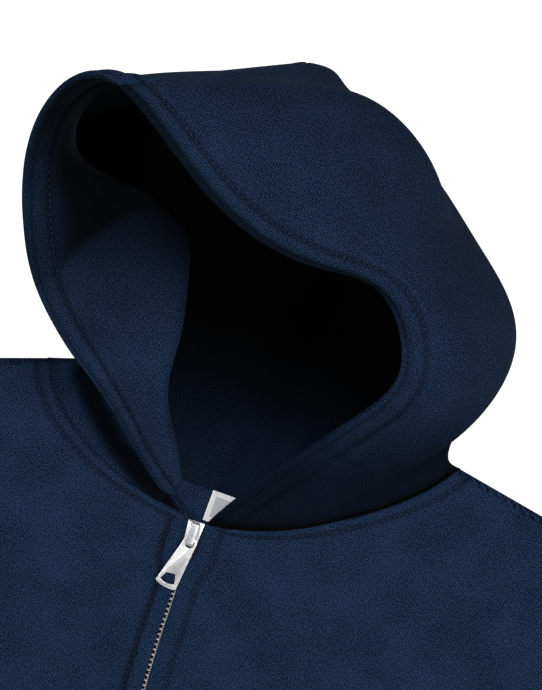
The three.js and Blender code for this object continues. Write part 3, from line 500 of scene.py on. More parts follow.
def neckCurve(side):
    start = zipEdgeX(side, body["zipTop"])
    x = mix(start, side * body["neckHalf"], np.sin(np.linspace(0, 1, 25) * math.pi / 2))
    return planCurve(np.stack([x, neckFrontY(x)], -1))


neckCurves = {-1: neckCurve(-1), 1: neckCurve(1)}

# Folded edge of pressed cloth, by the turn about the fold: how far in from the edge and down from the top the
# outer and the inner face lie.
foldTurns = np.radians([0, 15, 30, 45, 60, 75, 90])


def foldEdge(radius, turns):
    return foldRadius - radius * np.sin(turns), radius - np.maximum(radius * np.cos(turns), 0.1)


# Each front's rows: place on the inner boundary (0 to 1 up the zip, 1 to 2 round the neckline) and on the outer
# one (0 to 1 up the side, 1 to 2 up the armhole), as in the pattern.
frontPlaces = np.array([
    (0, 0), (0.16, 0.24), (0.32, 0.5), (0.46, 0.75), (0.58, 0.97), (0.6, 1), (0.67, 1.1), (0.75, 1.2), (0.83, 1.3),
    (0.9, 1.39), (0.95, 1.45), (0.98, 1.49), (1, 1.52), (1.12, 1.58), (1.27, 1.65), (1.42, 1.72), (1.56, 1.79),
    (1.68, 1.84), (1.79, 1.89), (1.88, 1.93), (1.94, 1.96), (1.98, 1.985),
])

# Soft folds of the fronts: height, width, then the line in plan
armholeGap = 0.2  # from the armhole to the panels' edges beside it
frontFolds = {
    -1: [
        (-1.1, 7, (-52, -92), (-80, -104), (-112, -112)), (0.8, 9, (-42, -116), (-78, -128), (-120, -130)),
        (-2.2, 11, (-255, -262), (-205, -228), (-150, -214)), (2.6, 13, (-258, -235), (-205, -202), (-140, -190)),
        (-2.0, 12, (-262, -300), (-200, -300), (-140, -318)), (2.2, 15, (-240, -352), (-150, -372), (-60, -360)),
        (-1.8, 14, (-250, -420), (-160, -445), (-70, -440)), (1.8, 16, (-230, -500), (-130, -520), (-40, -510)),
        (-1.4, 9, (-232, -60), (-226, -120), (-216, -180)), (1.4, 10, (-205, -70), (-200, -130), (-196, -190)),
    ],
    1: [
        (-0.9, 5, (-6, -78), (14, -83), (34, -82)), (0.7, 7, (0, -92), (30, -98), (60, -94)),
        (-1.0, 9, (60, -84), (96, -98), (132, -96)), (0.8, 11, (40, -126), (90, -136), (140, -128)),
        (-2.3, 11, (254, -258), (206, -222), (158, -206)), (2.6, 13, (258, -232), (206, -198), (146, -184)),
        (-2.0, 12, (262, -298), (196, -294), (134, -306)), (2.2, 15, (236, -350), (150, -366), (50, -352)),
        (-1.8, 14, (246, -424), (150, -448), (56, -436)), (1.8, 16, (226, -498), (130, -516), (30, -506)),
        (-1.4, 9, (232, -60), (226, -120), (216, -180)), (1.4, 10, (205, -70), (200, -130), (196, -190)),
    ],
}
frontLook = {
    "unevenness": 0.5, "grooveDeep": 0.9, "grooveWide": 1.0, "hemGather": 0.8, "placketStitch": 9.3,
    "bandShade": 0.45, "placketShade": {-1: 0.62, 1: 0.3},
}


# A front panel. Each row runs straight from its place on the inner boundary to the one on the outer boundary, and
# its loop goes back under it at the cloth's thickness. Relief is height added to the flat top: the neck band, the
# placket over the zip, sewn grooves, folds and gathers above the waistband.
def frontPanel(side, name):
    rows = np.concatenate([np.linspace(0, 5, 48)[:-1], np.linspace(5, 8.3, 26)[:-1], np.linspace(8.3, 12, 66)[:-1],
                           np.linspace(12, 21, 112)])
    index = np.arange(len(frontPlaces))
    inner, outer = [np.interp(rows, index, frontPlaces[:, i]) for i in (0, 1)]
    neckTop = neckFrontY(zipEdgeX(side, body["zipTop"]))
    zipY = mix(body["hem"], neckTop, np.minimum(inner, 1))
    zipSide = np.stack([zipEdgeX(side, zipY), zipY], -1)
    starts = np.where(inner[:, None] <= 1, zipSide, curveAt(neckCurves[side], np.clip(inner - 1, 0, 1)))
    ends = np.where(outer[:, None] <= 1, curveAt(sideSeam, outer), curveAt(armhole, np.clip(outer - 1, 0, 1)))
    folded = 1 - smooth(rows, 4.6, 5)
    placket = (inner <= 1).astype(float)
    faces = {}
    for layer, radius in (("outer", foldRadius), ("inner", foldInside)):
        edgeIn, edgeDown = foldEdge(radius, foldTurns)
        shoulderStart = curveAt(neckCurves[side], 1 - edgeIn / neckCurves[side]["length"])
        shoulderEnd = curveAt(armhole, 1 - edgeIn / armhole["length"])
        start = np.concatenate([starts, shoulderStart])
        end = np.concatenate([ends, shoulderEnd]) * (side, 1)
        start[: len(starts), 0] = starts[:, 0]
        foldedAll = np.concatenate([folded, np.zeros(len(foldTurns))])[:, None]
        placketAll = np.concatenate([placket, np.zeros(len(foldTurns))])[:, None]
        down = np.concatenate([np.zeros(len(rows)), edgeDown])[:, None]
        length = np.linalg.norm(end - start, axis=1)[:, None]
        near = np.concatenate([np.arange(1.1, 18, 0.75), np.arange(18, 60, 1.7)])[None, :]
        wide = np.minimum(near, length * 0.45)
        rest = np.linspace(0, 1, 66)[None, 1:]
        flatEnd = length - foldRadius
        far = mix(wide[:, -1:], flatEnd, rest**1.15)
        flatIn = np.linspace(foldRadius, armholeGap, len(edgeIn))
        turnedIn = length - mix(flatIn[None, 1:], edgeIn[None, 1:], foldedAll)
        distance = np.concatenate([np.broadcast_to(wide, (len(length), near.shape[1])), far, turnedIn], 1)
        sink = np.concatenate([np.zeros((len(length), near.shape[1] + 65)), foldedAll * edgeDown[None, 1:]], 1)
        share = distance / length
        plan = start[:, None] + (end - start)[:, None] * share[..., None]
        flatTop = frontHigh if layer == "outer" else body["cloth"] + body["layerGap"]
        lift = placketAll * body["placketRise"] * (1 - smooth(distance, body["bandWide"], body["placketWide"]))
        lift = lift + frontRelief(side, plan, distance, placketAll, down, length) * (1 - smooth(sink, 0, 1.5))
        if layer == "outer":
            lift = lift + frontSewing(side, plan, distance, placketAll, down)
        z = flatTop + lift - sink - down
        faces[layer] = np.concatenate([plan, z[..., None]], -1)
        chart = plan
    outerNet, innerNet = faces["outer"], faces["inner"]
    away = unit(np.concatenate([start - end, np.zeros((len(start), 1))], 1))
    rim = rimPoints(outerNet[:, 0], innerNet[:, 0], away, 6)
    loops = np.concatenate([outerNet[:, ::-1], rim, innerNet], 1)
    rimChart = rimCharts(chart[:, 0], away[:, None, :2], 6, 0.6)
    charts = np.concatenate([chart[:, ::-1], rimChart, chart], 1)
    # Painted shade: the outer face's colour is darkened along the neck band's seam and along the placket's stitch
    # line, more on the left placket.
    bandShadeMask = np.exp(-(((distance - body["bandWide"]) / 1.7) ** 2)) * (1 - placketAll)
    placketPaintedShade = frontLook["placketShade"][side]
    placketShadeMask = np.exp(-(((distance - frontLook["placketStitch"]) / 1.8) ** 2)) * placketAll
    outerPaintedShade = 1 - frontLook["bandShade"] * bandShadeMask - placketPaintedShade * placketShadeMask
    plain = np.ones((len(distance), 6 + distance.shape[1]))
    paintedShade = np.concatenate([outerPaintedShade[:, ::-1], plain], 1)
    piece = wallPiece(name, loops, charts, False, fleece, 50, paintedShade)
    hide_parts(name)
    return piece, outerNet, distance


def frontRelief(side, plan, distance, placket, down, length):
    flatPart = smooth(length - distance, 3, 26)
    lift = foldRelief(plan, frontFolds[side]) + unevenness(plan, frontLook["unevenness"], 4 + side)
    gather = 1 - smooth(plan[..., 1] - body["hem"], 4, 46)
    ripple = np.sin(plan[..., 0] * math.tau / 15 + 2 * np.sin(plan[..., 0] / 37)) + 0.6
    lift = lift * smooth(distance, 12, 40) * flatPart + frontLook["hemGather"] * ripple * gather * flatPart
    return lift * (down < 0.01)


# Sewn lines: grooves as bells across the distance from the edge.
def frontSewing(side, plan, distance, placket, down):
    deep, wide = frontLook["grooveDeep"], frontLook["grooveWide"]
    band = body["bandRise"] * (1 - smooth(distance, body["bandWide"] - 0.6, body["bandWide"] + 0.5))
    band = band + 0.25 * np.sin(np.clip(distance / body["bandWide"], 0, 1) * math.pi)
    atBand = -deep * np.exp(-(((distance - body["bandWide"]) / wide) ** 2))
    swell = 0.5 * np.exp(-(((distance - body["bandWide"] - 3.4) / 2.6) ** 2))
    atPlacket = -1.35 * deep * np.exp(-(((distance - frontLook["placketStitch"]) / (1.1 * wide)) ** 2))
    atPlacket = atPlacket + 0.55 * np.exp(-(((distance - frontLook["placketStitch"] - 3.0) / 2.4) ** 2))
    neck = (band + atBand + swell) * (1 - placket) * (1 - np.minimum(down / 3, 1))
    hem = -0.8 * np.exp(-(((plan[..., 1] - body["hem"]) / 1.6) ** 2))
    return neck + atPlacket * placket + hem


fronts = {}
for side, name in ((-1, "front_left_panel"), (1, "front_right_panel")):
    fronts[side] = frontPanel(side, name)
print("fronts made")


# The back: rows up to the neckline and the shoulders, which lie on the table with sides and shoulders turned up.
def backPanel():
    columnsNeck = body["neckHalf"] * np.sin(np.linspace(0, math.pi / 2, 46))
    columnsShoulder = np.linspace(body["neckHalf"], body["shoulder"][0] - foldRadius, 34)[1:]
    halfColumns = np.concatenate([columnsNeck, columnsShoulder])
    topX = np.concatenate([-halfColumns[:0:-1], halfColumns])
    places = np.concatenate([np.linspace(0, 0.5621, 60), np.linspace(0.5621, 0.9935, 70)[1:]])
    y = mix(body["hem"], body["shoulder"][1], places)
    sidePart = np.interp(y, sideSeam["points"][:, 1], sideSeam["points"][:, 0])
    armPart = np.interp(y, armhole["points"][:, 1], armhole["points"][:, 0])
    half = np.where(y < -300, sidePart, armPart)
    nets = {}
    for layer, radius in (("outer", foldRadius), ("inner", foldInside)):
        edgeIn, edgeUp = foldEdge(radius, foldTurns)
        placeAll = np.concatenate([places, np.ones(len(foldTurns))])[:, None]
        halfAll = np.concatenate([half, np.full(len(foldTurns), body["shoulder"][0])])[:, None]
        foldedSide = (placeAll < 0.5621).astype(float)
        share = topX / (body["shoulder"][0] - foldRadius)
        x = share[None, :] * (halfAll - foldRadius)
        sideIn = np.linspace(foldRadius, armholeGap, len(edgeIn))
        turned = halfAll - mix(sideIn[None, 1:], edgeIn[None, 1:], foldedSide)
        x = np.concatenate([-turned[:, ::-1], x, turned], 1)
        up = np.concatenate([edgeUp[:0:-1], np.zeros(len(topX)), edgeUp[1:]])[None, :] * foldedSide
        edgeTop = np.full(len(foldTurns) - 1, body["shoulder"][0] - foldRadius)
        planX = np.concatenate([-edgeTop, topX, edgeTop])
        onShoulder = np.abs(planX) >= body["neckHalf"]
        slope = body["shoulder"][1] / (body["shoulder"][0] - body["neckHalf"])
        top = np.where(onShoulder, slope * (np.abs(planX) - body["neckHalf"]), neckBackY(planX))
        topIn = np.concatenate([np.zeros(len(places)), edgeIn])[:, None]
        topUp = np.concatenate([np.zeros(len(places)), edgeUp])[:, None]
        isTop = np.concatenate([np.zeros(len(places)), np.ones(len(foldTurns))])[:, None]
        flatIn = np.where(onShoulder[None, :], topIn, np.where(isTop > 0, foldEdge(foldRadius, foldTurns)[0].max(), 0))
        rowY = mix(body["hem"], top[None, :] - foldRadius, placeAll)
        shoulderY = top[None, :] - flatIn
        seamIn = np.concatenate([np.zeros(len(places)), mix(foldRadius, 0, foldTurns / foldTurns[-1])])[:, None]
        seamY = top[None, :] - seamIn
        rowY = np.where(isTop > 0, np.where(onShoulder[None, :], shoulderY, seamY), rowY)
        z = (0 if layer == "outer" else body["cloth"]) + up + topUp * onShoulder[None, :]
        nets[layer] = np.stack([np.broadcast_to(x, z.shape), rowY, z], -1)
    flatness = (nets["inner"][..., 2] < body["cloth"] + 0.01).astype(float)
    nets["inner"][..., 2] += 0.25 * flatness * np.sin(nets["inner"][..., 0] / 23) * np.sin(nets["inner"][..., 1] / 31)
    loops = np.concatenate([nets["outer"], nets["inner"][:, ::-1]], 1)
    chart = nets["outer"][..., :2]
    charts = np.concatenate([chart, chart[:, ::-1]], 1)
    piece = wallPiece("back_panel", loops, charts, False, fleece)
    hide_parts("back_panel")
    return piece


backPanel()
print("back made")

# Hood, its middle surface: for each level from the neck up, six stops from the front edge to the back
hood = {
    "cloth": 3.0, "hemExtra": 1.0, "neckHeight": 6.3, "inset": -1.2, "flat": 3.0, "turnHalf": 0.16, "tipInset": 2.2,
    "edgeSeam": 2.6, "topstitch": 12.4, "grooveDeep": 1.3, "grooveWide": 1.0, "stitchFrom": 30,
}
hoodLeftTable = np.array([
    [(-32, -48.5, 13), (-27, -47, 18), (-44, -22, 24), (-75, 9, 11), (-63, -3, 4)],
    [(-69, -12, 44), (-41, -11, 56), (-58, 12, 38), (-85, 27, 18), (-77, 29, 5)],
    [(-92, 8, 64), (-44.5, 21, 80), (-67, 39, 52), (-97, 47, 26), (-84, 62, 5)],
    [(-112, 31, 86), (-48, 47, 94), (-72, 61, 62), (-107, 65, 36), (-88, 91, 9)],
    [(-123, 55, 108), (-62, 78, 96), (-93, 85, 66), (-115, 85, 50), (-88, 119, 26)],
    [(-129, 86, 128), (-108, 90, 104), (-114, 97, 80), (-120, 104, 66), (-87, 132, 52)],
    [(-122, 117.5, 146), (-111, 120, 132), (-106, 125, 116), (-105, 129, 100), (-76, 141, 88)],
], float)
hoodRightTable = np.array([
    [(16, -24.5, 34), (52, -26, 34), (78, -7, 30), (93, 10, 16), (47, 4, 4)],
    [(37.5, 2, 62), (77, 1, 58), (100, 26, 44), (97, 54, 14), (49, 55, 4)],
    [(55, 25, 92), (85, 27, 92), (109, 55.5, 62), (96, 88, 18), (46, 103, 4)],
    [(57, 48, 116), (77, 54, 118), (95.5, 78.5, 76), (76, 111, 28), (32, 134, 9)],
    [(37, 72, 134), (55, 79, 134), (68.5, 102, 90), (50, 132.5, 48), (18, 149, 26)],
    [(2, 73.5, 148), (24, 95, 148), (48, 130, 102), (23.5, 146, 72), (2, 159, 50)],
    [(-46.5, 91.5, 155), (-20, 113, 158), (3.5, 147.5, 128), (4.5, 154, 100), (-4.5, 160.5, 84)],
], float)
hoodBackTable = np.array([
    (-10, 6, 2), (-16, 53, 2), (-22, 94, 2), (-22, 123, 4), (-22, 146, 14), (-20, 156, 42), (-20, 163, 70),
], float)
hoodCrownTable = np.array([
    (-96, 127, 150), (-76, 132.5, 148), (-59, 138.5, 140), (-45.5, 147, 126), (-30.5, 154.5, 110), (-18, 163, 92),
], float)
hoodFloor = hood["cloth"] / 2
hoodTop = 8


# The angle by which the cloth has gone round the neck point, from facing up to facing down.
def hoodTurn(places):
    return math.pi * np.clip((places - 3 + hood["turnHalf"]) / (2 * hood["turnHalf"]), 0, 1)


# The hood's seam row: place 0 at the zip, 3 at the neck point, 5 at the middle of the back, the inset inside
# the body's edge.
def hoodNeckPoints(side, places, inset):
    turn = hoodTurn(places)
    rise = (hood["neckHeight"] - hoodFloor) / 2
    nearTip = (1 - smooth(np.abs(places - 3), hood["turnHalf"], 3 * hood["turnHalf"]))[:, None]
    curve = neckCurves[side]
    share = np.minimum(np.sin(np.minimum(places, 3) / 3 * math.pi / 2), 1)
    front = curveAt(curve, share)
    heading = unit(curveAt(curve, np.minimum(share + 0.002, 1)) - curveAt(curve, np.minimum(share + 0.002, 1) - 0.004))
    frontIn = np.stack([-side * heading[:, 1], side * heading[:, 0]], -1)
    angle = (1 - (np.maximum(places - 3, 0) / 2) ** 2) * math.pi / 2
    backX = side * body["neckHalf"] * np.sin(angle)
    behind = np.stack([backX, neckBackY(backX)], -1)
    backIn = np.stack([-side * np.sin(angle) * body["neckBack"], np.cos(angle) * body["neckHalf"]], -1)
    isFront = (places <= 3)[:, None]
    inwards = unit(np.where(isFront, frontIn, unit(backIn)))
    direction = unit(mix(inwards, np.array([-side * 1.0, -0.9]), nearTip))
    plan = np.where(isFront, front, behind) + direction * mix(inset, hood["tipInset"], nearTip)
    height = hoodFloor + rise + rise * np.cos(turn)
    return np.stack([plan[:, 0] + side * rise * np.sin(turn), plan[:, 1], height], -1)


# The hood's middle surface on a grid: each level is a spline from the left edge round the back to the right one,
# and each hoop a spline from the left of the neck over the crown to the right of it. Low parts rest on the table.
def hoodSurface(places, along):
    left = np.einsum("pk,lkc->plc", splineWeights(11, places), hoodLevels)
    right = np.einsum("pk,lkc->plc", splineWeights(11, 10 - places), hoodLevels)
    crown = splineWeights(6, places) @ hoodCrownTable
    feet = [hoodNeckPoints(side, places, hood["flat"]) for side in (-1, 1)]
    parts = [feet[0][:, None], left, crown[:, None], right[:, ::-1], feet[1][:, None]]
    surface = np.einsum("ak,pkc->apc", splineWeights(17, along), np.concatenate(parts, 1))
    above = surface[..., 2] - hoodFloor
    surface[..., 2] = hoodFloor + 0.5 * (above + np.sqrt(above**2 + 1))
    return surface


# The hood with its lapel: above a crease the left wall sinks behind it. The crease is two lines in plan that meet
# at a corner, and the depth grows over a reach past either line.
lapel = {
    "corner": (-71, 82), "turns": (142, 68), "reaches": (16, 12), "deep": 24.0,
    "places": (0.25, 0.6, 1.7, 2.3), "levels": (2, 3.4, 4.8, 6.4),
}


def riseAndFall(values, span):
    return smooth(values, span[0], span[1]) * (1 - smooth(values, span[2], span[3]))


def pastCrease(plan, start, reaches):
    past = np.zeros(plan.shape[:2])
    for turn, reach in zip(lapel["turns"], reaches):
        away = np.array([math.cos(math.radians(turn)), math.sin(math.radians(turn))])
        past = np.maximum(past, smooth((plan - lapel["corner"]) @ away, start, reach))
    return past


def foldedHood(places, along):
    surface = hoodSurface(places, along)
    past = pastCrease(surface[..., :2], 0, lapel["reaches"])
    weight = past * riseAndFall(places, lapel["places"]) * riseAndFall(along, lapel["levels"])[:, None]
    surface[..., 2] -= lapel["deep"] * weight
    return surface


hoodLevels = np.concatenate([hoodLeftTable, hoodBackTable[:, None], hoodRightTable[:, ::-1]], 1)


# Where a point is seen against the table: the line from the camera through it, met with the table.
def seenPlace(points):
    eye = np.array([cameraLook["x"], cameraLook["y"]]) * 1000 - planShift[:2]
    high = cameraLook["high"] * 1000
    return eye + (points[..., :2] - eye) * (high / (high - points[..., 2:3]))


# Soft folds of the hood as seen from above, against the table: height, width, then the line
hoodFolds = {
    "outer": {
        -1: [],
        1: [
            (-1.8, 3.4, (86, 71), (97, 61), (107, 47)), (1.0, 4, (80, 66), (93, 55), (103, 42)),
            (-1.6, 4.5, (70, 61), (81, 49), (82, 28), (74, 11)), (1.0, 5, (78, 62), (88, 49), (89, 28), (80, 10)),
            (-1.3, 2.6, (40, -7), (49, -12), (63, -13)), (0.8, 3.5, (40, -2), (50, -7), (64, -8)),
            (-0.9, 7, (-20, 118), (10, 108), (34, 104)), (0.9, 8, (0, 103), (18, 95), (30, 84)),
        ],
    },
    "inner": {
        -1: [(-1.4, 6, (-106, 29), (-87, 13), (-65, -11), (-45, -31)), (0.8, 7, (-98, 33), (-79, 17), (-57, -7))],
        1: [(-1.2, 4, (16, 26), (18, 1), (11, -21)), (-1.0, 3, (-35, -23), (-26, -25), (-18, -24))],
    },
}


# A net smoothed where the weight is one: each point becomes the mean of its neighbours, many times over. The seam
# row stays in place.
def calmed(net, weight, rounds=160):
    calm = net.copy()
    for _ in range(rounds):
        calm[1:-1, 1:-1] = (calm[:-2, 1:-1] + calm[2:, 1:-1] + calm[1:-1, :-2] + calm[1:-1, 2:]) / 4
        calm[1:-1, 0] = (calm[:-2, 0] + 2 * calm[1:-1, 1] - calm[1:-1, 2] + calm[2:, 0]) / 3
    return mix(net, calm, weight)


# A hood panel. Its rows run from the neck seam to the crown. The first stops of a row are the hem, at set
# distances from the front edge, and the others spread to the neck point and on to the middle of the back.
def hoodPanel(side, name):
    fine = np.arange(0, 5.0001, 0.01)
    up = np.concatenate([np.linspace(0, 1, 26)[:-1], np.linspace(1, 8, 132)])
    along = up if side < 0 else 2 * hoodTop - up
    step = 0.03
    middle = foldedHood(fine, along)
    acrossHoops = foldedHood(fine + step, along) - foldedHood(np.maximum(fine - step, 0), along)
    alongHoop = foldedHood(fine, np.minimum(along + step, 16)) - foldedHood(fine, np.maximum(along - step, 0))
    outwards = unit(np.cross(alongHoop, acrossHoops))
    seam = hoodNeckPoints(side, fine, hood["inset"])
    turn = hoodTurn(fine)
    seamOutwards = np.stack([side * np.sin(turn), np.zeros_like(turn), np.cos(turn)], -1)
    shares = np.array([0, 0.34, 0.67])[:, None, None]
    middle = np.concatenate([mix(seam[None], middle[:1], shares), middle])
    outwards = np.concatenate([unit(mix(seamOutwards[None], outwards[:1], shares)), outwards])
    atFoot = np.concatenate([np.ones(3), 1 - smooth(up, 0.7, 1.8)])[:, None] * (1 - smooth(fine, 0.5, 1.1))
    middle = calmed(middle, atFoot[..., None])
    outwards = unit(calmed(outwards, atFoot[..., None]))
    runStep = np.linalg.norm(np.diff(middle, axis=1), axis=2)
    run = np.concatenate([np.zeros((len(middle), 1)), np.cumsum(runStep, 1)], 1)
    hemDistances = np.concatenate([[2.0], np.arange(2.5, 17.6, 0.72)])
    hemPlaces = np.stack([np.interp(hemDistances, row, fine) for row in run])
    frontPart = mix(hemPlaces[:, -1:], 2.5, np.linspace(0, 1, 58)[None, 1:])
    backPart = np.concatenate([np.linspace(2.5, 2.82, 8)[1:], np.linspace(2.84, 3.16, 13), np.linspace(3.2, 5, 52)])
    places = np.concatenate([hemPlaces, frontPart, np.broadcast_to(backPart, (len(run), len(backPart)))], 1)
    position = places * 100
    low = np.clip(position.astype(int), 0, len(fine) - 2)
    f = (position - low)[..., None]
    rowIndex = np.arange(len(middle))[:, None]
    surface = mix(middle[rowIndex, low], middle[rowIndex, low + 1], f)
    normal = unit(mix(outwards[rowIndex, low], outwards[rowIndex, low + 1], f))
    distance = mix(run[rowIndex, low], run[rowIndex, low + 1], f[..., 0])
    hoopStep = np.linalg.norm(np.diff(surface, axis=0), axis=2)
    hoopRun = np.concatenate([np.zeros((1, surface.shape[1])), np.cumsum(hoopStep, 0)])
    fromCrown = hoopRun[-1:] - hoopRun
    fromBack = run[:, -1:] - distance
    relief = hoodRelief(side, surface, normal, distance, fromCrown, fromBack, hoopRun)
    hemPly = hood["hemExtra"] * (1 - smooth(distance, hood["topstitch"], hood["topstitch"] + 1.5))
    half = (hood["cloth"] + hemPly) / 2
    outerNet = surface + normal * (half + relief["outer"])[..., None]
    innerNet = surface - normal * (half + relief["inner"])[..., None]
    away = unit(surface[:, 0] - surface[:, 2])
    rim = rimPoints(outerNet[:, 0], innerNet[:, 0], away, 8)
    loops = np.concatenate([outerNet[:, ::-1], rim, innerNet], 1)
    # Painted shade and painted light for the hood, as factors on its colour for the outer face, the rim and the inner
    # face.
    outerPaintedShade, innerPaintedShade = hoodPaintedShade(side, places, outerNet, innerNet, distance, hoopRun)
    rimPaintedShade = mix(outerPaintedShade[:, :1], innerPaintedShade[:, :1], np.linspace(0, 1, 8)[None])
    paintedShade = np.concatenate([outerPaintedShade[:, ::-1], rimPaintedShade, innerPaintedShade], 1)
    piece = wallPiece(name, loops, loops[..., :2], False, fleece, 70, paintedShade)
    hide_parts(name)
    return piece, {"outer": outerNet, "inner": innerNet, "normal": normal, "distance": distance}


# Painted shade and painted light on the hood's colour, by where each place is seen against the table. The inside
# is painted dark from the label up to the mouth's upper end. On the left the lapel's face is painted lit, the hem's
# painted light fades inwards, and the wall beyond the crease and the wedge beside the neck band are painted dark.
# Sewn grooves and the foot at the neck seam get a little painted shade. On the right the upper rim, the part low
# near the neck seam and the top get painted shade.
paintedShadeLook = {
    "paintedShadowWedge": ((-86, -3), (-76, -17), (-61, -33), (-43, -46), (-27, -55)), "wedgeHalf": 6.5, "wedgeShade": 0.94,
    "floorPaintedShade": 0.42, "floorLow": -45, "floorHigh": 45, "hemReach": 11, "groove": 0.5, "rimShade": 0.75,
    "lapelPaintedLightLow": 1.12, "lapelPaintedLightHigh": 0.12, "lowShade": 0.76, "topShade": 0.12,
}


def hoodPaintedShade(side, places, outerNet, innerNet, distance, hoopRun):
    look = paintedShadeLook
    # Painted shade in the sewn grooves: the topstitch line and the edge seam are darkened.
    groove = look["groove"] * np.exp(-(((distance - hood["topstitch"]) / 1.3) ** 2))
    groove = np.maximum(groove, 0.45 * np.exp(-(((distance - hood["edgeSeam"] - 1.2) / 0.7) ** 2)))
    # Painted shadow on the left: the wedge beside the neck band, under the lapel, is darkened.
    paintedShadowWedge = lineDistance(seenPlace(outerNet), look["paintedShadowWedge"])[0]
    outerPaintedShade = 1 - look["wedgeShade"] * np.exp(-((paintedShadowWedge / look["wedgeHalf"]) ** 4)) * (side < 0)
    # Painted contact shadow along the neck seam.
    outerPaintedShade = outerPaintedShade * (1 - 0.6 * np.exp(-((hoopRun / 3.5) ** 2)))
    seen = seenPlace(innerNet)
    # Painted shade inside the hood: a little light near the neck seam, nearly black from there up to the crown.
    floorPaintedShade = look["floorPaintedShade"] * (1 - smooth(seen[..., 1], look["floorLow"], look["floorHigh"])) ** 1.5 + 0.015
    # Painted light along the inner hem, fading inwards.
    hem = np.exp(-((np.maximum(distance - 6, 0) / look["hemReach"]) ** 2))
    if side < 0:
        # On the left: painted light on the lapel's face, brighter low down and none past the crease. The hem's painted
        # light fades towards the top.
        past = pastCrease(innerNet[..., :2], -1, (7, 7))
        high = smooth(seen[..., 1], 0, 78)
        face = mix(look["lapelPaintedLightLow"], look["lapelPaintedLightHigh"], high) * (1 - past) * (1 - smooth(places, 1.5, 2.2))
        hemPaintedLight = 0.55 * hem * (1 - 0.9 * smooth(seen[..., 1], 60, 118))
        innerPaintedShade = np.maximum(np.maximum(face, hemPaintedLight), floorPaintedShade)
    else:
        # On the right: painted light on the inner hem, which is dark inside. Painted shade on the upper rim, low down
        # near the neck seam and towards the top.
        inner = smooth(seen[..., 1], -20, 30)
        innerPaintedShade = np.maximum(hem * (1 - look["rimShade"] * inner), floorPaintedShade)
        rim = 1 - look["rimShade"] * smooth(seen[..., 1], 48, 80) * (1 - smooth(distance, 3, 7.5))
        low = 1 - look["lowShade"] * (1 - smooth(hoopRun, 55, 145)) - 0.3 * np.exp(-((hoopRun / 8) ** 2))
        outerPaintedShade = outerPaintedShade * rim * low * (1 - look["topShade"] * smooth(seen[..., 1], 40, 90))
    return outerPaintedShade * (1 - groove), innerPaintedShade * (1 - groove)


# Relief of the hood: the hem's edge seam and topstitch, the seam between the panels, soft folds.
def hoodRelief(side, surface, normal, distance, fromCrown, fromBack, hoopRun):
    deep, wide = hood["grooveDeep"], hood["grooveWide"]
    pucker = 1 + 0.08 * np.sin(hoopRun * math.tau / 6.3 + np.sin(hoopRun / 9))
    stitch = -deep * pucker * np.exp(-(((distance - hood["topstitch"]) / wide) ** 2))
    stitch = stitch - 0.3 * deep * np.exp(-(((distance - hood["edgeSeam"] - 1.2) / (0.7 * wide)) ** 2))
    swell = 0.9 * np.exp(-(((distance - 7.8) / 3.2) ** 2)) + 0.7 * np.exp(-(((distance - 16.5) / 2.6) ** 2))
    crown = -0.9 * np.exp(-((fromCrown / 1.1) ** 2)) + 0.35 * np.exp(-(((fromCrown - 4) / 2.5) ** 2))
    crown = crown - 0.45 * np.exp(-(((fromCrown - 7.5) / 0.8) ** 2))
    behind = -0.7 * np.exp(-((fromBack / 1.1) ** 2))
    foot = smooth(hoopRun, 3, 16)
    seen = seenPlace(surface)
    total = {}
    for face in ("outer", "inner"):
        soft = foldRelief(seen, hoodFolds[face][side]) if hoodFolds[face][side] else 0
        total[face] = (stitch + swell + crown + behind + soft) * foot
    return total


hoods = {}
for side, name in ((-1, "hood_left_panel"), (1, "hood_right_panel")):
    hoods[side] = hoodPanel(side, name)
print("hood made")


# Sleeves, cuffs and waistband: flattened tubes of cloth
sleeve = {"gap": -1.2, "puff": 3.2, "cuffLong": 70, "cuffSeam": 50, "cuffEnd": 44, "waistHigh": 65,
          "waistSeam": 250, "waistEnd": 238, "ribPitch": 4.0, "ribRise": 0.75}


# Section of a flattened tube between two places in plan: over the top, round the fold, back underneath and round
# the other fold. Gives the share across, and the height of the middle line and side of the round ends.
def tubeStops(flatCount, turnCount=7):
    flat = np.linspace(0, 1, flatCount)
    turns = np.linspace(0, math.pi, turnCount + 2)[1:-1]
    across = np.concatenate([flat, np.ones(turnCount), flat[::-1], np.zeros(turnCount)])
    sideways = np.concatenate([np.zeros(flatCount), np.sin(turns), np.zeros(flatCount), -np.sin(turns)])
    upright = np.concatenate([np.ones(flatCount), np.cos(turns), -np.ones(flatCount), -np.cos(turns)])
    return across, sideways, upright


sleeveFolds = {
    -1: [(2.4, 13, (-300, -110), (-345, -190), (-370, -270)), (-2.2, 10, (-300, -300), (-350, -262), (-390, -210)),
         (2.6, 12, (-330, -330), (-385, -290), (-430, -238)), (-2.0, 9, (-392, -385), (-432, -340), (-470, -290)),
         (2.2, 11, (-420, -405), (-470, -360), (-505, -318)), (-1.8, 9, (-480, -452), (-520, -405), (-548, -370)),
         (2.0, 10, (-505, -480), (-548, -436), (-585, -400)), (-1.6, 8, (-300, -150), (-312, -220), (-308, -280)),
         (1.8, 8, (-538, -492), (-575, -462), (-606, -432))],
}
sleeveFolds[1] = [(h, w, *[(-x + 4, y - 6) for x, y in line]) for h, w, *line in sleeveFolds[-1]]


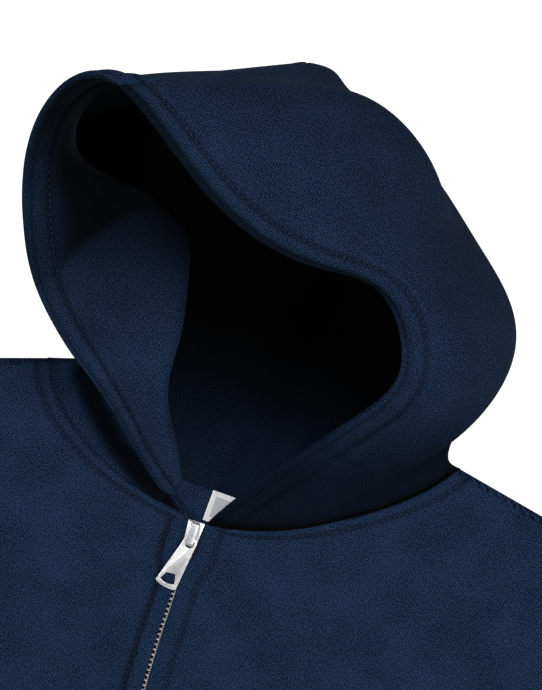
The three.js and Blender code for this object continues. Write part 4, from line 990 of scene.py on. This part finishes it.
# A sleeve: rings from the armhole, whose curve the first one follows, to the cuff. The top is puffed a little by
# height times the root of the sine across, with folds and gathers at the cuff.
def sleevePiece(side, name):
    across, sideways, upright = tubeStops(64)
    places = np.linspace(0, 1, 174)
    start, end = curveAt(underarm, places), curveAt(overarm, places)
    length = np.linalg.norm(end - start, axis=1)[:, None]
    nets = {}
    for layer, radius in (("outer", foldRadius), ("inner", foldInside)):
        run = foldRadius + across[None, :] * (length - 2 * foldRadius) + sideways[None, :] * radius
        share = run / length
        plan = start[:, None] + (end - start)[:, None] * share[..., None]
        straight = mix(curveAt(armhole, 0.0), curveAt(armhole, 1.0), share[..., None])
        curved = curveAt(armhole, np.clip(share, 0, 1))
        plan = plan + (curved - straight) * ((1 - places) ** 4)[:, None, None]
        plan[0, :, 0] += sleeve["gap"]
        plan = plan * (side, 1)
        crown = np.sqrt(np.maximum(np.sin(np.clip(across, 0, 1) * math.pi), 0))[None, :]
        rise = sleeve["puff"] * crown * smooth(places, 0, 0.12)[:, None] * (1 - 0.6 * smooth(places, 0.85, 1))[:, None]
        folds = foldRelief(plan, sleeveFolds[side]) + unevenness(plan, 0.5, 11 + side)
        ripple = np.sin(across * 46 + np.sin(across * 9)) * smooth(places, 0.93, 1)[:, None] * 0.8
        shoulderSeam = 0.9 * np.exp(-(((places - 0.012) / 0.008) ** 2))[:, None]
        rise = rise + (folds + ripple) * crown + shoulderSeam * crown
        seam = -0.7 * np.exp(-((places / 0.004) ** 2)) - 0.6 * np.exp(-(((places - 1) / 0.004) ** 2))
        rise = rise + (seam[:, None] if layer == "outer" else 0)
        onTop = (upright > 0.999)[None, :]
        z = foldRadius + upright[None, :] * radius + np.where(onTop, rise, 0)
        nets[layer] = np.concatenate([plan, z[..., None]], -1)
    outerNet, innerNet = nets["outer"], nets["inner"]
    loops = np.concatenate([outerNet, innerNet[::-1]], 0).transpose(1, 0, 2)
    around = np.cumsum(np.concatenate([[0], np.linalg.norm(np.diff(outerNet[len(places) // 2], axis=0), axis=1)]))
    around = np.append(around, around[-1] + 1.5)
    along = places * overarm["length"]
    chart = np.stack(np.broadcast_arrays(around[:, None], np.concatenate([along, along[::-1]])[None, :]), -1)
    piece = wallPiece(name, loops, chart, True, fleece)
    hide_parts(name)
    return piece


# Rib relief: rounded ridges, rise times the root of half of one minus the cosine round each pitch.
def ribHeight(distance):
    wave = 0.5 - 0.5 * np.cos(math.tau * distance / sleeve["ribPitch"])
    return sleeve["ribRise"] * np.sqrt(wave)


# A cuff: a ribbed flattened tube that narrows to its rounded end.
def cuffPiece(side, name):
    across, sideways, upright = tubeStops(118, 9)
    seamStart, seamEnd = curveAt(underarm, 1.0), curveAt(overarm, 1.0)
    middle, width = (seamStart + seamEnd) / 2, unit(seamEnd - seamStart)
    downwards = np.array([width[1], -width[0]])
    places = np.concatenate([[0.3, 1.2, 2.4], np.linspace(5, sleeve["cuffLong"] - 1.2, 15)])
    down = places / sleeve["cuffLong"]
    half = mix(sleeve["cuffSeam"], sleeve["cuffEnd"], down) - 0.8 * np.sin(down * math.pi)
    seamDip = -0.7 * np.exp(-((places / 1.3) ** 2))[:, None]
    nets = {}
    for layer, radius in (("outer", foldRadius), ("inner", foldInside)):
        reach = 2 * (half - foldRadius)[:, None] * (across - 0.5)[None, :] + sideways[None, :] * radius
        centre = middle + places[:, None] * downwards
        plan = (centre[:, None] + reach[..., None] * width) * (side, 1)
        ribs = ribHeight(across * 2 * (sleeve["cuffSeam"] - foldRadius))[None, :]
        puff = 1.6 * np.sqrt(np.sin(np.clip(across, 0, 1) * math.pi))[None, :]
        top = (ribs + seamDip if layer == "outer" else 0) + puff
        z = foldRadius + upright[None, :] * radius + np.where(upright > 0.999, top, 0)
        nets[layer] = np.concatenate([plan, np.broadcast_to(z, plan.shape[:2])[..., None]], -1)
    outerNet, innerNet = nets["outer"].transpose(1, 0, 2), nets["inner"].transpose(1, 0, 2)
    outwards = np.array([side * downwards[0], downwards[1], 0.0])
    rim = rimPoints(outerNet[:, -1], innerNet[:, -1], np.broadcast_to(outwards, outerNet[:, -1].shape), 5)
    loops = np.concatenate([outerNet, rim, innerNet[:, ::-1]], 1)
    around = np.concatenate([[0], np.cumsum(np.linalg.norm(np.diff(outerNet[:, 0], axis=0), axis=1))])
    around = np.append(around, around[-1] + 1)
    along = np.concatenate([places, np.full(5, places[-1] + 1), places[::-1]])
    chart = np.stack(np.broadcast_arrays(around[:, None], along[None, :]), -1)
    piece = wallPiece(name, loops, chart, True, rib)
    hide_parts(name)
    return piece


# The waistband: a ribbed strip from the left zip edge round the back to the right zip edge.
def waistPiece():
    places = np.concatenate([[0.3, 1.2, 2.4], np.linspace(5, sleeve["waistHigh"] - 1.2, 13)])
    y = body["hem"] - places
    half = mix(sleeve["waistSeam"], sleeve["waistEnd"], places / sleeve["waistHigh"])
    half = half - 1.5 * np.sin(places / sleeve["waistHigh"] * math.pi)
    flat = np.linspace(0, 1, 300)
    turns = np.linspace(0, math.pi, 9)[1:-1]
    seamDip = -0.8 * np.exp(-((places / 1.3) ** 2))[:, None]
    nets = {}
    for layer, radius in (("outer", foldRadius), ("inner", foldInside)):
        strips = []
        for side in (-1, 1):
            start, end = zipEdgeX(side, y)[:, None] + side * 1.1, side * (half - foldRadius)[:, None]
            x = mix(start, end, flat[None, :])
            ribs = ribHeight(flat * (sleeve["waistSeam"] - foldRadius))[None, :] + seamDip
            lift = body["placketRise"] * (1 - smooth(np.abs(x - start), body["bandWide"], body["placketWide"]))
            plain = smooth(np.abs(x - start), 9, 11)
            slack = 0.8 * np.sin(np.clip(flat, 0, 1) * math.pi)[None, :] * np.sin(places / 65 * math.pi)[:, None]
            top = lift + slack + (ribs * plain if layer == "outer" else 0)
            strip = np.stack([x, np.broadcast_to(y[:, None], x.shape), foldRadius + radius + top], -1)
            sideX = side * ((half - foldRadius)[:, None] + radius * np.sin(turns)[None, :])
            sideZ = np.broadcast_to(foldRadius + radius * np.cos(turns)[None, :], sideX.shape)
            strips.append((strip, np.stack([sideX, np.broadcast_to(y[:, None], sideX.shape), sideZ], -1)))
        backX = (half - foldRadius)[:, None] * np.linspace(-1, 1, 420)[None, :]
        backRibs = 0.5 * ribHeight(np.linspace(-1, 1, 420) * 246)[None, :] if layer == "outer" else 0
        backZ = foldRadius - radius + np.broadcast_to(backRibs, backX.shape)
        behind = np.stack([backX, np.broadcast_to(y[:, None], backX.shape), backZ], -1)
        (left, leftTurn), (right, rightTurn) = strips
        around = np.concatenate([left, leftTurn, behind, rightTurn[:, ::-1], right[:, ::-1]], 1)
        nets[layer] = around.transpose(1, 0, 2)
    outerNet, innerNet = nets["outer"], nets["inner"]
    away = np.broadcast_to(np.array([0.0, -1.0, 0.0]), outerNet[:, -1].shape)
    rim = rimPoints(outerNet[:, -1], innerNet[:, -1], away, 4)
    loops = np.concatenate([outerNet, rim, innerNet[:, ::-1]], 1)
    around = np.concatenate([[0], np.cumsum(np.linalg.norm(np.diff(outerNet[:, 0], axis=0), axis=1))])
    along = np.concatenate([places, np.full(4, places[-1] + 1), places[::-1]])
    chart = np.stack(np.broadcast_arrays(around[:, None], along[None, :]), -1)
    piece = wallPiece("waistband", loops, chart, False, rib)
    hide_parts("waistband")
    return piece


for side, name in ((-1, "left"), (1, "right")):
    sleevePiece(side, f"sleeve_{name}")
    cuffPiece(side, f"cuff_{name}")
waistPiece()
print("sleeves, cuffs and waistband made")


# Zip: tapes under the fronts, teeth, box, slider, pull tab
zipLook = {"tapeThick": 0.9, "tapeIn": 2.6, "tapeOut": 15, "toothPitch": 2.6, "toothWide": 1.25, "toothLow": 3.7,
           "toothHigh": 6.0, "toothReach": 0.75, "toothRoot": 2.9, "shift": 0.9, "top": -64.5, "bottom": -690}


# A tape: a flat woven strip beside the teeth, under the front, with a thicker cord along its inner edge.
def tapePiece(side, name):
    y = np.linspace(body["hem"] - sleeve["waistHigh"], body["zipTop"] - 2, 320)[:, None]
    distance = np.concatenate([[zipLook["tapeIn"]], np.linspace(3.1, zipLook["tapeOut"], 22)])[None, :]
    x = zipX(y) + side * distance
    fromEdge = np.maximum(distance - np.abs(zipEdgeX(side, y) - zipX(y)), 0)
    lift = body["placketRise"] * (1 - smooth(fromEdge, body["bandWide"], body["placketWide"]))
    top = body["cloth"] + body["layerGap"] + lift - 0.3
    cord = 0.5 * np.exp(-(((distance - 3.3) / 0.7) ** 2)) * (fromEdge < 0.2)
    outerNet = np.stack([x, np.broadcast_to(y, x.shape), top + cord], -1)
    innerNet = np.stack([x, np.broadcast_to(y, x.shape), top - zipLook["tapeThick"]], -1)
    loops = np.concatenate([outerNet, innerNet[:, ::-1]], 1)
    chart = np.concatenate([outerNet[..., :2], outerNet[:, ::-1, :2]], 1)
    piece = wallPiece(name, loops, chart, False, tape)
    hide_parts(name)
    return piece


# Copies of a small shape: each is turned by its place's axes and moved there. All are one mesh.
def scatterShape(name, shape, faces, places, axes, material):
    points = places[:, None] + np.einsum("vk,nkc->nvc", shape, axes)
    count = len(shape)
    allFaces = [[index + i * count for index in face] for i in range(len(places)) for face in faces]
    mesh = bpy.data.meshes.new(name)
    mesh.from_pydata(((points.reshape(-1, 3) + planShift) / 1000).tolist(), [], allFaces)
    mesh.shade_smooth()
    mesh.set_sharp_from_angle(angle=math.radians(40))
    print(f"{name}: {len(places)} copies")
    return addPiece(name, mesh, material)


# A tooth: a block from its root in the tape to a rounded head over the middle, with bevelled ends.
def teethPiece():
    wide, reach, root = zipLook["toothWide"] / 2, zipLook["toothReach"], zipLook["toothRoot"]
    low, high = zipLook["toothLow"], zipLook["toothHigh"]
    outline = np.array([(-root, -wide), (-0.3, -0.8 * wide), (0.3, -wide), (reach, -0.7 * wide), (reach, 0.7 * wide),
                        (0.3, wide), (-0.3, 0.8 * wide), (-root, wide)])
    centre = outline.mean(0)
    rings = [(0.86, low), (1.0, low + 0.25), (1.0, high - 0.35), (0.8, high)]
    shape = np.concatenate([np.column_stack([centre + (outline - centre) * k, np.full(8, z)]) for k, z in rings])
    faces = [[r * 8 + i, r * 8 + (i + 1) % 8, (r + 1) * 8 + (i + 1) % 8, (r + 1) * 8 + i]
             for r in range(3) for i in range(8)]
    faces += [[7, 6, 5, 4, 3, 2, 1, 0], [24, 25, 26, 27, 28, 29, 30, 31]]
    places, axes = [], []
    for side in (-1, 1):
        y = np.arange(zipLook["bottom"] + 1.5, zipLook["top"], zipLook["toothPitch"]) + (0 if side < 0 else 1.3)
        places.append(np.stack([zipX(y) + zipLook["shift"], y, np.zeros_like(y)], -1))
        flip = -side
        axes.append(np.broadcast_to(np.diag([flip, flip, 1.0]), (len(y), 3, 3)))
    piece = scatterShape("zip_chain", shape, faces, np.concatenate(places), np.concatenate(axes), metal)
    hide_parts("zip_chain")
    return piece


# A metal part of the frame with softened edges: its triangles are joined and bevelled.
def softenedPart(node, name, width, bodyName):
    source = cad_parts[node]
    mesh = source.data.copy()
    shape = bmesh.new()
    shape.from_mesh(mesh)
    bmesh.ops.remove_doubles(shape, verts=shape.verts, dist=0.00001)
    bmesh.ops.dissolve_limit(shape, angle_limit=math.radians(2), verts=shape.verts, edges=shape.edges)
    shape.to_mesh(mesh)
    shape.free()
    mesh.materials.clear()
    piece = addPiece(name, mesh, metal, bodyName)
    bevel = piece.modifiers.new("soft edges", "BEVEL")
    bevel.width = width
    bevel.segments = 3
    bevel.angle_limit = math.radians(28)
    bevel.harden_normals = True
    mesh.shade_smooth()
    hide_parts(node)
    return piece


for side, name in ((-1, "zip_tape_left"), (1, "zip_tape_right")):
    tapePiece(side, name)
teethPiece()
softenedPart("zip_box", "zip_box_soft", 0.0004, "garment")
softenedPart("zip_slider", "zip_slider_soft", 0.00022, "garment")
softenedPart("zip_pull", "zip_pull_soft", 0.00025, "pull")
print("zip made")

# Label: a blank loop of tape at the back neck seam, curled a little towards its lower corners
label = {"wide": 19, "long": 15.4, "thick": 0.7, "centre": (-0.7, -50.2), "turn": -5, "low": 2.6}


def labelPiece():
    u, v = np.meshgrid(np.linspace(-0.5, 0.5, 44), np.linspace(-0.5, 0.5, 36))
    x, y = u * label["wide"], v * label["long"]
    curl = 0.5 * smooth(-v, 0.1, 0.5) * (0.4 + 1.2 * u**2) + 0.12 * np.sin(u * 9 + v * 4)
    border = -0.12 * np.exp(-(((np.minimum(0.5 - np.abs(u), (0.5 - np.abs(v)) * 0.8) - 0.07) / 0.02) ** 2))
    turn = math.radians(label["turn"])
    planX = label["centre"][0] + x * math.cos(turn) - y * math.sin(turn)
    planY = label["centre"][1] + x * math.sin(turn) + y * math.cos(turn)
    low = label["low"] + curl
    outerNet = np.stack([planX, planY, low + label["thick"] + border], -1)
    innerNet = np.stack([planX, planY, low], -1)
    loops = np.concatenate([outerNet, innerNet[:, ::-1]], 1)
    chart = np.stack([x, y], -1)
    piece = wallPiece("neck_label", loops, np.concatenate([chart, chart[:, ::-1]], 1), False, labelCloth)
    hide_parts("neck_label")
    return piece


labelPiece()

# Topstitching
stitch = {"pitch": 3.3, "long": 2.5, "radius": 0.28, "sunk": 0.16}


# Stitches along a row of points on cloth, evenly spaced: gives the middle of each and its three axes.
def stitchRow(points, normals):
    steps = np.linalg.norm(np.diff(points, axis=0), axis=1)
    run = np.concatenate([[0], np.cumsum(steps)])
    at = np.arange(stitch["pitch"] / 2, run[-1] - stitch["pitch"] / 2, stitch["pitch"])
    middle = np.stack([np.interp(at, run, points[:, i]) for i in range(3)], -1)
    ahead = np.stack([np.interp(at + 0.8, run, points[:, i]) for i in range(3)], -1)
    normal = unit(np.stack([np.interp(at, run, normals[:, i]) for i in range(3)], -1))
    heading = unit(ahead - middle)
    sideways = unit(np.cross(normal, heading))
    return middle, np.stack([heading, sideways, np.cross(heading, sideways)], 1)


def stitchPiece(name, rows):
    rings = [(-0.5, 0.15, -0.5), (-0.38, 0.8, -0.12), (0, 1.0, 0.0), (0.38, 0.8, -0.12), (0.5, 0.15, -0.5)]
    angles = np.arange(6) / 6 * math.tau
    shape = np.concatenate([
        np.column_stack([np.full(6, at * stitch["long"]), stitch["radius"] * k * np.cos(angles),
                         stitch["radius"] * (k * np.sin(angles) + sink) - stitch["sunk"]])
        for at, k, sink in rings
    ])
    faces = [[r * 6 + i, r * 6 + (i + 1) % 6, (r + 1) * 6 + (i + 1) % 6, (r + 1) * 6 + i]
             for r in range(4) for i in range(6)]
    faces += [[5, 4, 3, 2, 1, 0], [24, 25, 26, 27, 28, 29]]
    places = np.concatenate([middle for middle, axes in rows])
    axes = np.concatenate([axes for middle, axes in rows])
    return scatterShape(name, shape, [face[::-1] for face in faces], places, axes, thread)


upwards = np.array([0.0, 0.0, 1.0])


# The point of each row of a net where its distance from the edge is the one asked for.
def netAt(net, distance, wanted):
    column = np.argmin(np.abs(distance - wanted), axis=1)
    return net[np.arange(len(net)), column]


def frontStitches():
    rows = []
    for side in (-1, 1):
        piece, net, distance = fronts[side]
        neckRows = slice(138, len(net) - len(foldTurns))
        zipRows = slice(0, 138)
        for part, wanted in ((neckRows, body["bandWide"]), (zipRows, frontLook["placketStitch"])):
            points = netAt(net[part], distance[part], wanted)
            rows.append(stitchRow(points, np.broadcast_to(upwards, points.shape)))
    return stitchPiece("front_topstitching", rows)


def hoodStitches():
    rows = []
    for side in (-1, 1):
        piece, net = hoods[side]
        for face, sign in (("outer", 1), ("inner", -1)):
            points = netAt(net[face], net["distance"], hood["topstitch"])[hood["stitchFrom"]:]
            normals = netAt(net["normal"], net["distance"], hood["topstitch"])[hood["stitchFrom"]:] * sign
            rows.append(stitchRow(points, normals))
    return stitchPiece("hood_topstitching", rows)


frontStitches()
hoodStitches()
print("topstitching made")
